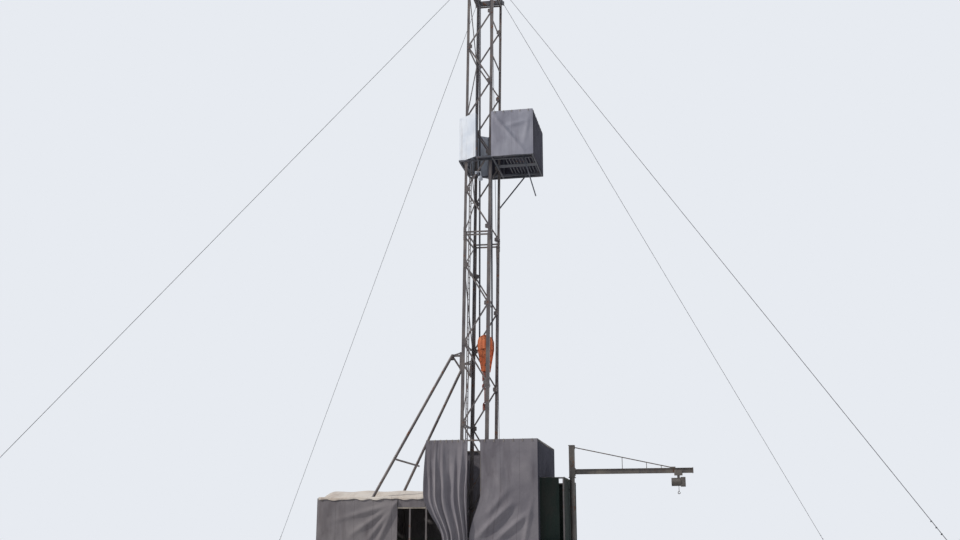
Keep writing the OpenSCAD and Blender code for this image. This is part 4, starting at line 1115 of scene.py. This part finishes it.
def hoist_details():
    """Cooling ribs round the hoist's drum and the bolted cover of its gear case."""
    axis_z = BOOM_UNDER - TROLLEY_DEEP - DRUM_DROP
    rib = ring_piece("rib", DRUM_RADIUS, RIB_ROD, 40, 6, turn=(0, math.pi / 2, 0))
    first = TROLLEY_X - RIBS_BACK
    places = [Matrix.Translation((first + RIB_PITCH * i, BOOM_Y, axis_z)) for i in range(RIBS)]
    ribs = repeated(rib, places, "ribs")
    cover_low = (TROLLEY_X + 0.125, BOOM_Y - COVER_FACE, axis_z - 0.185)
    cover_high = (TROLLEY_X + 0.285, BOOM_Y - CASE_FACE, axis_z + 0.185)
    cover = box_piece("cover", cover_low, cover_high, 0.004)
    bolts = [hex_bolt((TROLLEY_X + x, BOOM_Y - COVER_FACE, axis_z + z), 0.010, 0.010)
             for x in (0.145, 0.265) for z in (-0.165, 0.0, 0.165)]
    finish_piece(joined([ribs, cover, *bolts], "hoist_details"), "hoist", JIB_PAINT)


BEARING_FACE = 0.49


def crown_bolts():
    """Bolts that hold the sheave shaft's pillow blocks to the crown's beams."""
    bolts = []
    for side in (-1, 1):
        for dx in (-0.11, 0.11):
            for dz in (0.30, 0.52):
                bolts.append(hex_bolt((dx, side * BEARING_FACE, MAST_HEIGHT + dz), 0.02, 0.02, (0, side, 0)))
    group = joined(bolts, "crown_bolts")
    group.data.transform(LEAN)
    finish_piece(group, "rig", CROWN_PAINT)


LAMP_SPOT = (-0.105, -1.305, 18.40)
LAMP_REACH = 0.27
LAMP_HANG = 0.36
LAMP_TILT = 38
ARM_OUT = 0.07
ARM_UP = 0.04
ARM_RADIUS = 0.017
HANGER_RADIUS = 0.015


def lamp_shell():
    """The lamp's can: its mouth is sunk behind a rim, and its back is drawn in to a neck."""
    clear_selection()
    bpy.ops.mesh.primitive_cylinder_add(vertices=32, radius=0.12, depth=0.16)
    shell = bpy.context.object
    select_faces(shell, lambda face: face.normal.z < -0.9)
    bpy.ops.mesh.inset(thickness=0.012)
    bpy.ops.transform.translate(value=(0, 0, 0.03))
    select_faces(shell, lambda face: face.normal.z > 0.9)
    bpy.ops.mesh.inset(thickness=0.03)
    bpy.ops.transform.translate(value=(0, 0, 0.05))
    bpy.ops.object.mode_set(mode="OBJECT")
    bevel_edges(shell, 0.003)
    return shell


def work_lamp():
    """A floodlight on a bent arm from the near face of the mast, just under the board."""
    shell = lamp_shell()
    tilt = Matrix.Rotation(math.radians(LAMP_TILT), 4, "X")
    shell.data.transform(Matrix.Translation((LAMP_REACH, -0.15, -LAMP_HANG)) @ tilt)
    plate = box_piece("plate", (-0.05, -0.004, -0.03), (0.05, 0.008, 0.11), 0.002)
    stub = tube_piece("stub", (0, 0, ARM_UP), (0, -ARM_OUT, ARM_UP), ARM_RADIUS, 12, 0.002)
    arm_ends = (-0.012, -ARM_OUT, ARM_UP), (LAMP_REACH + 0.012, -ARM_OUT, ARM_UP)
    arm = tube_piece("arm", *arm_ends, ARM_RADIUS, 12, 0.002)
    hanger_ends = (LAMP_REACH, -ARM_OUT, 0.05), (LAMP_REACH, -ARM_OUT, -LAMP_HANG + 0.06)
    hanger = tube_piece("hanger", *hanger_ends, HANGER_RADIUS, 12, 0.002)
    yoke_low = (LAMP_REACH - 0.03, -0.11, -LAMP_HANG + 0.03)
    yoke_high = (LAMP_REACH + 0.03, -0.055, -LAMP_HANG + 0.09)
    yoke = box_piece("yoke", yoke_low, yoke_high, 0.003)
    lamp = joined([shell, plate, stub, arm, hanger, yoke], "work_lamp")
    lamp.data.transform(LEAN @ Matrix.Translation(LAMP_SPOT))
    finish_piece(lamp, "rig", PANEL_PAINT)


GUY_TOP = (0.76, 1.33, 29.32)
GUY_FOOT = (18.5, 18.5, 0.36)
CLIP_RADIUS = 0.019
CLIP_ROD = 0.006


def rope_clip():
    """A ring round the rope with its saddle beside it, centred on the origin with the rope along Z."""
    loop = ring_piece("loop", CLIP_RADIUS, CLIP_ROD, 16, 6)
    saddle = box_piece("saddle", (-0.024, -0.034, -0.014), (0.024, -0.010, 0.014), 0.003)
    return joined([loop, saddle], "clip")


def guy_clips():
    """Three rope clips over each guy's turnbuckle."""
    places = []
    for sx, sy in CORNERS:
        top = LEAN @ Vector((sx * GUY_TOP[0], sy * GUY_TOP[1], GUY_TOP[2]))
        foot = Vector((sx * GUY_FOOT[0], sy * GUY_FOOT[1], GUY_FOOT[2]))
        run = (foot - top).normalized()
        for back in (2.2, 2.45, 2.7):
            places.append(Matrix.Translation(foot - run * back) @ along_axis(run))
    finish_piece(repeated(rope_clip(), places, "guy_clips"), "rig", ROPE_STEEL)


mast_gussets()
mast_splices()
shoe_bolts()
brace_clamps()
block_bolts()
jib_bolts()
hoist_details()
crown_bolts()
work_lamp()
guy_clips()
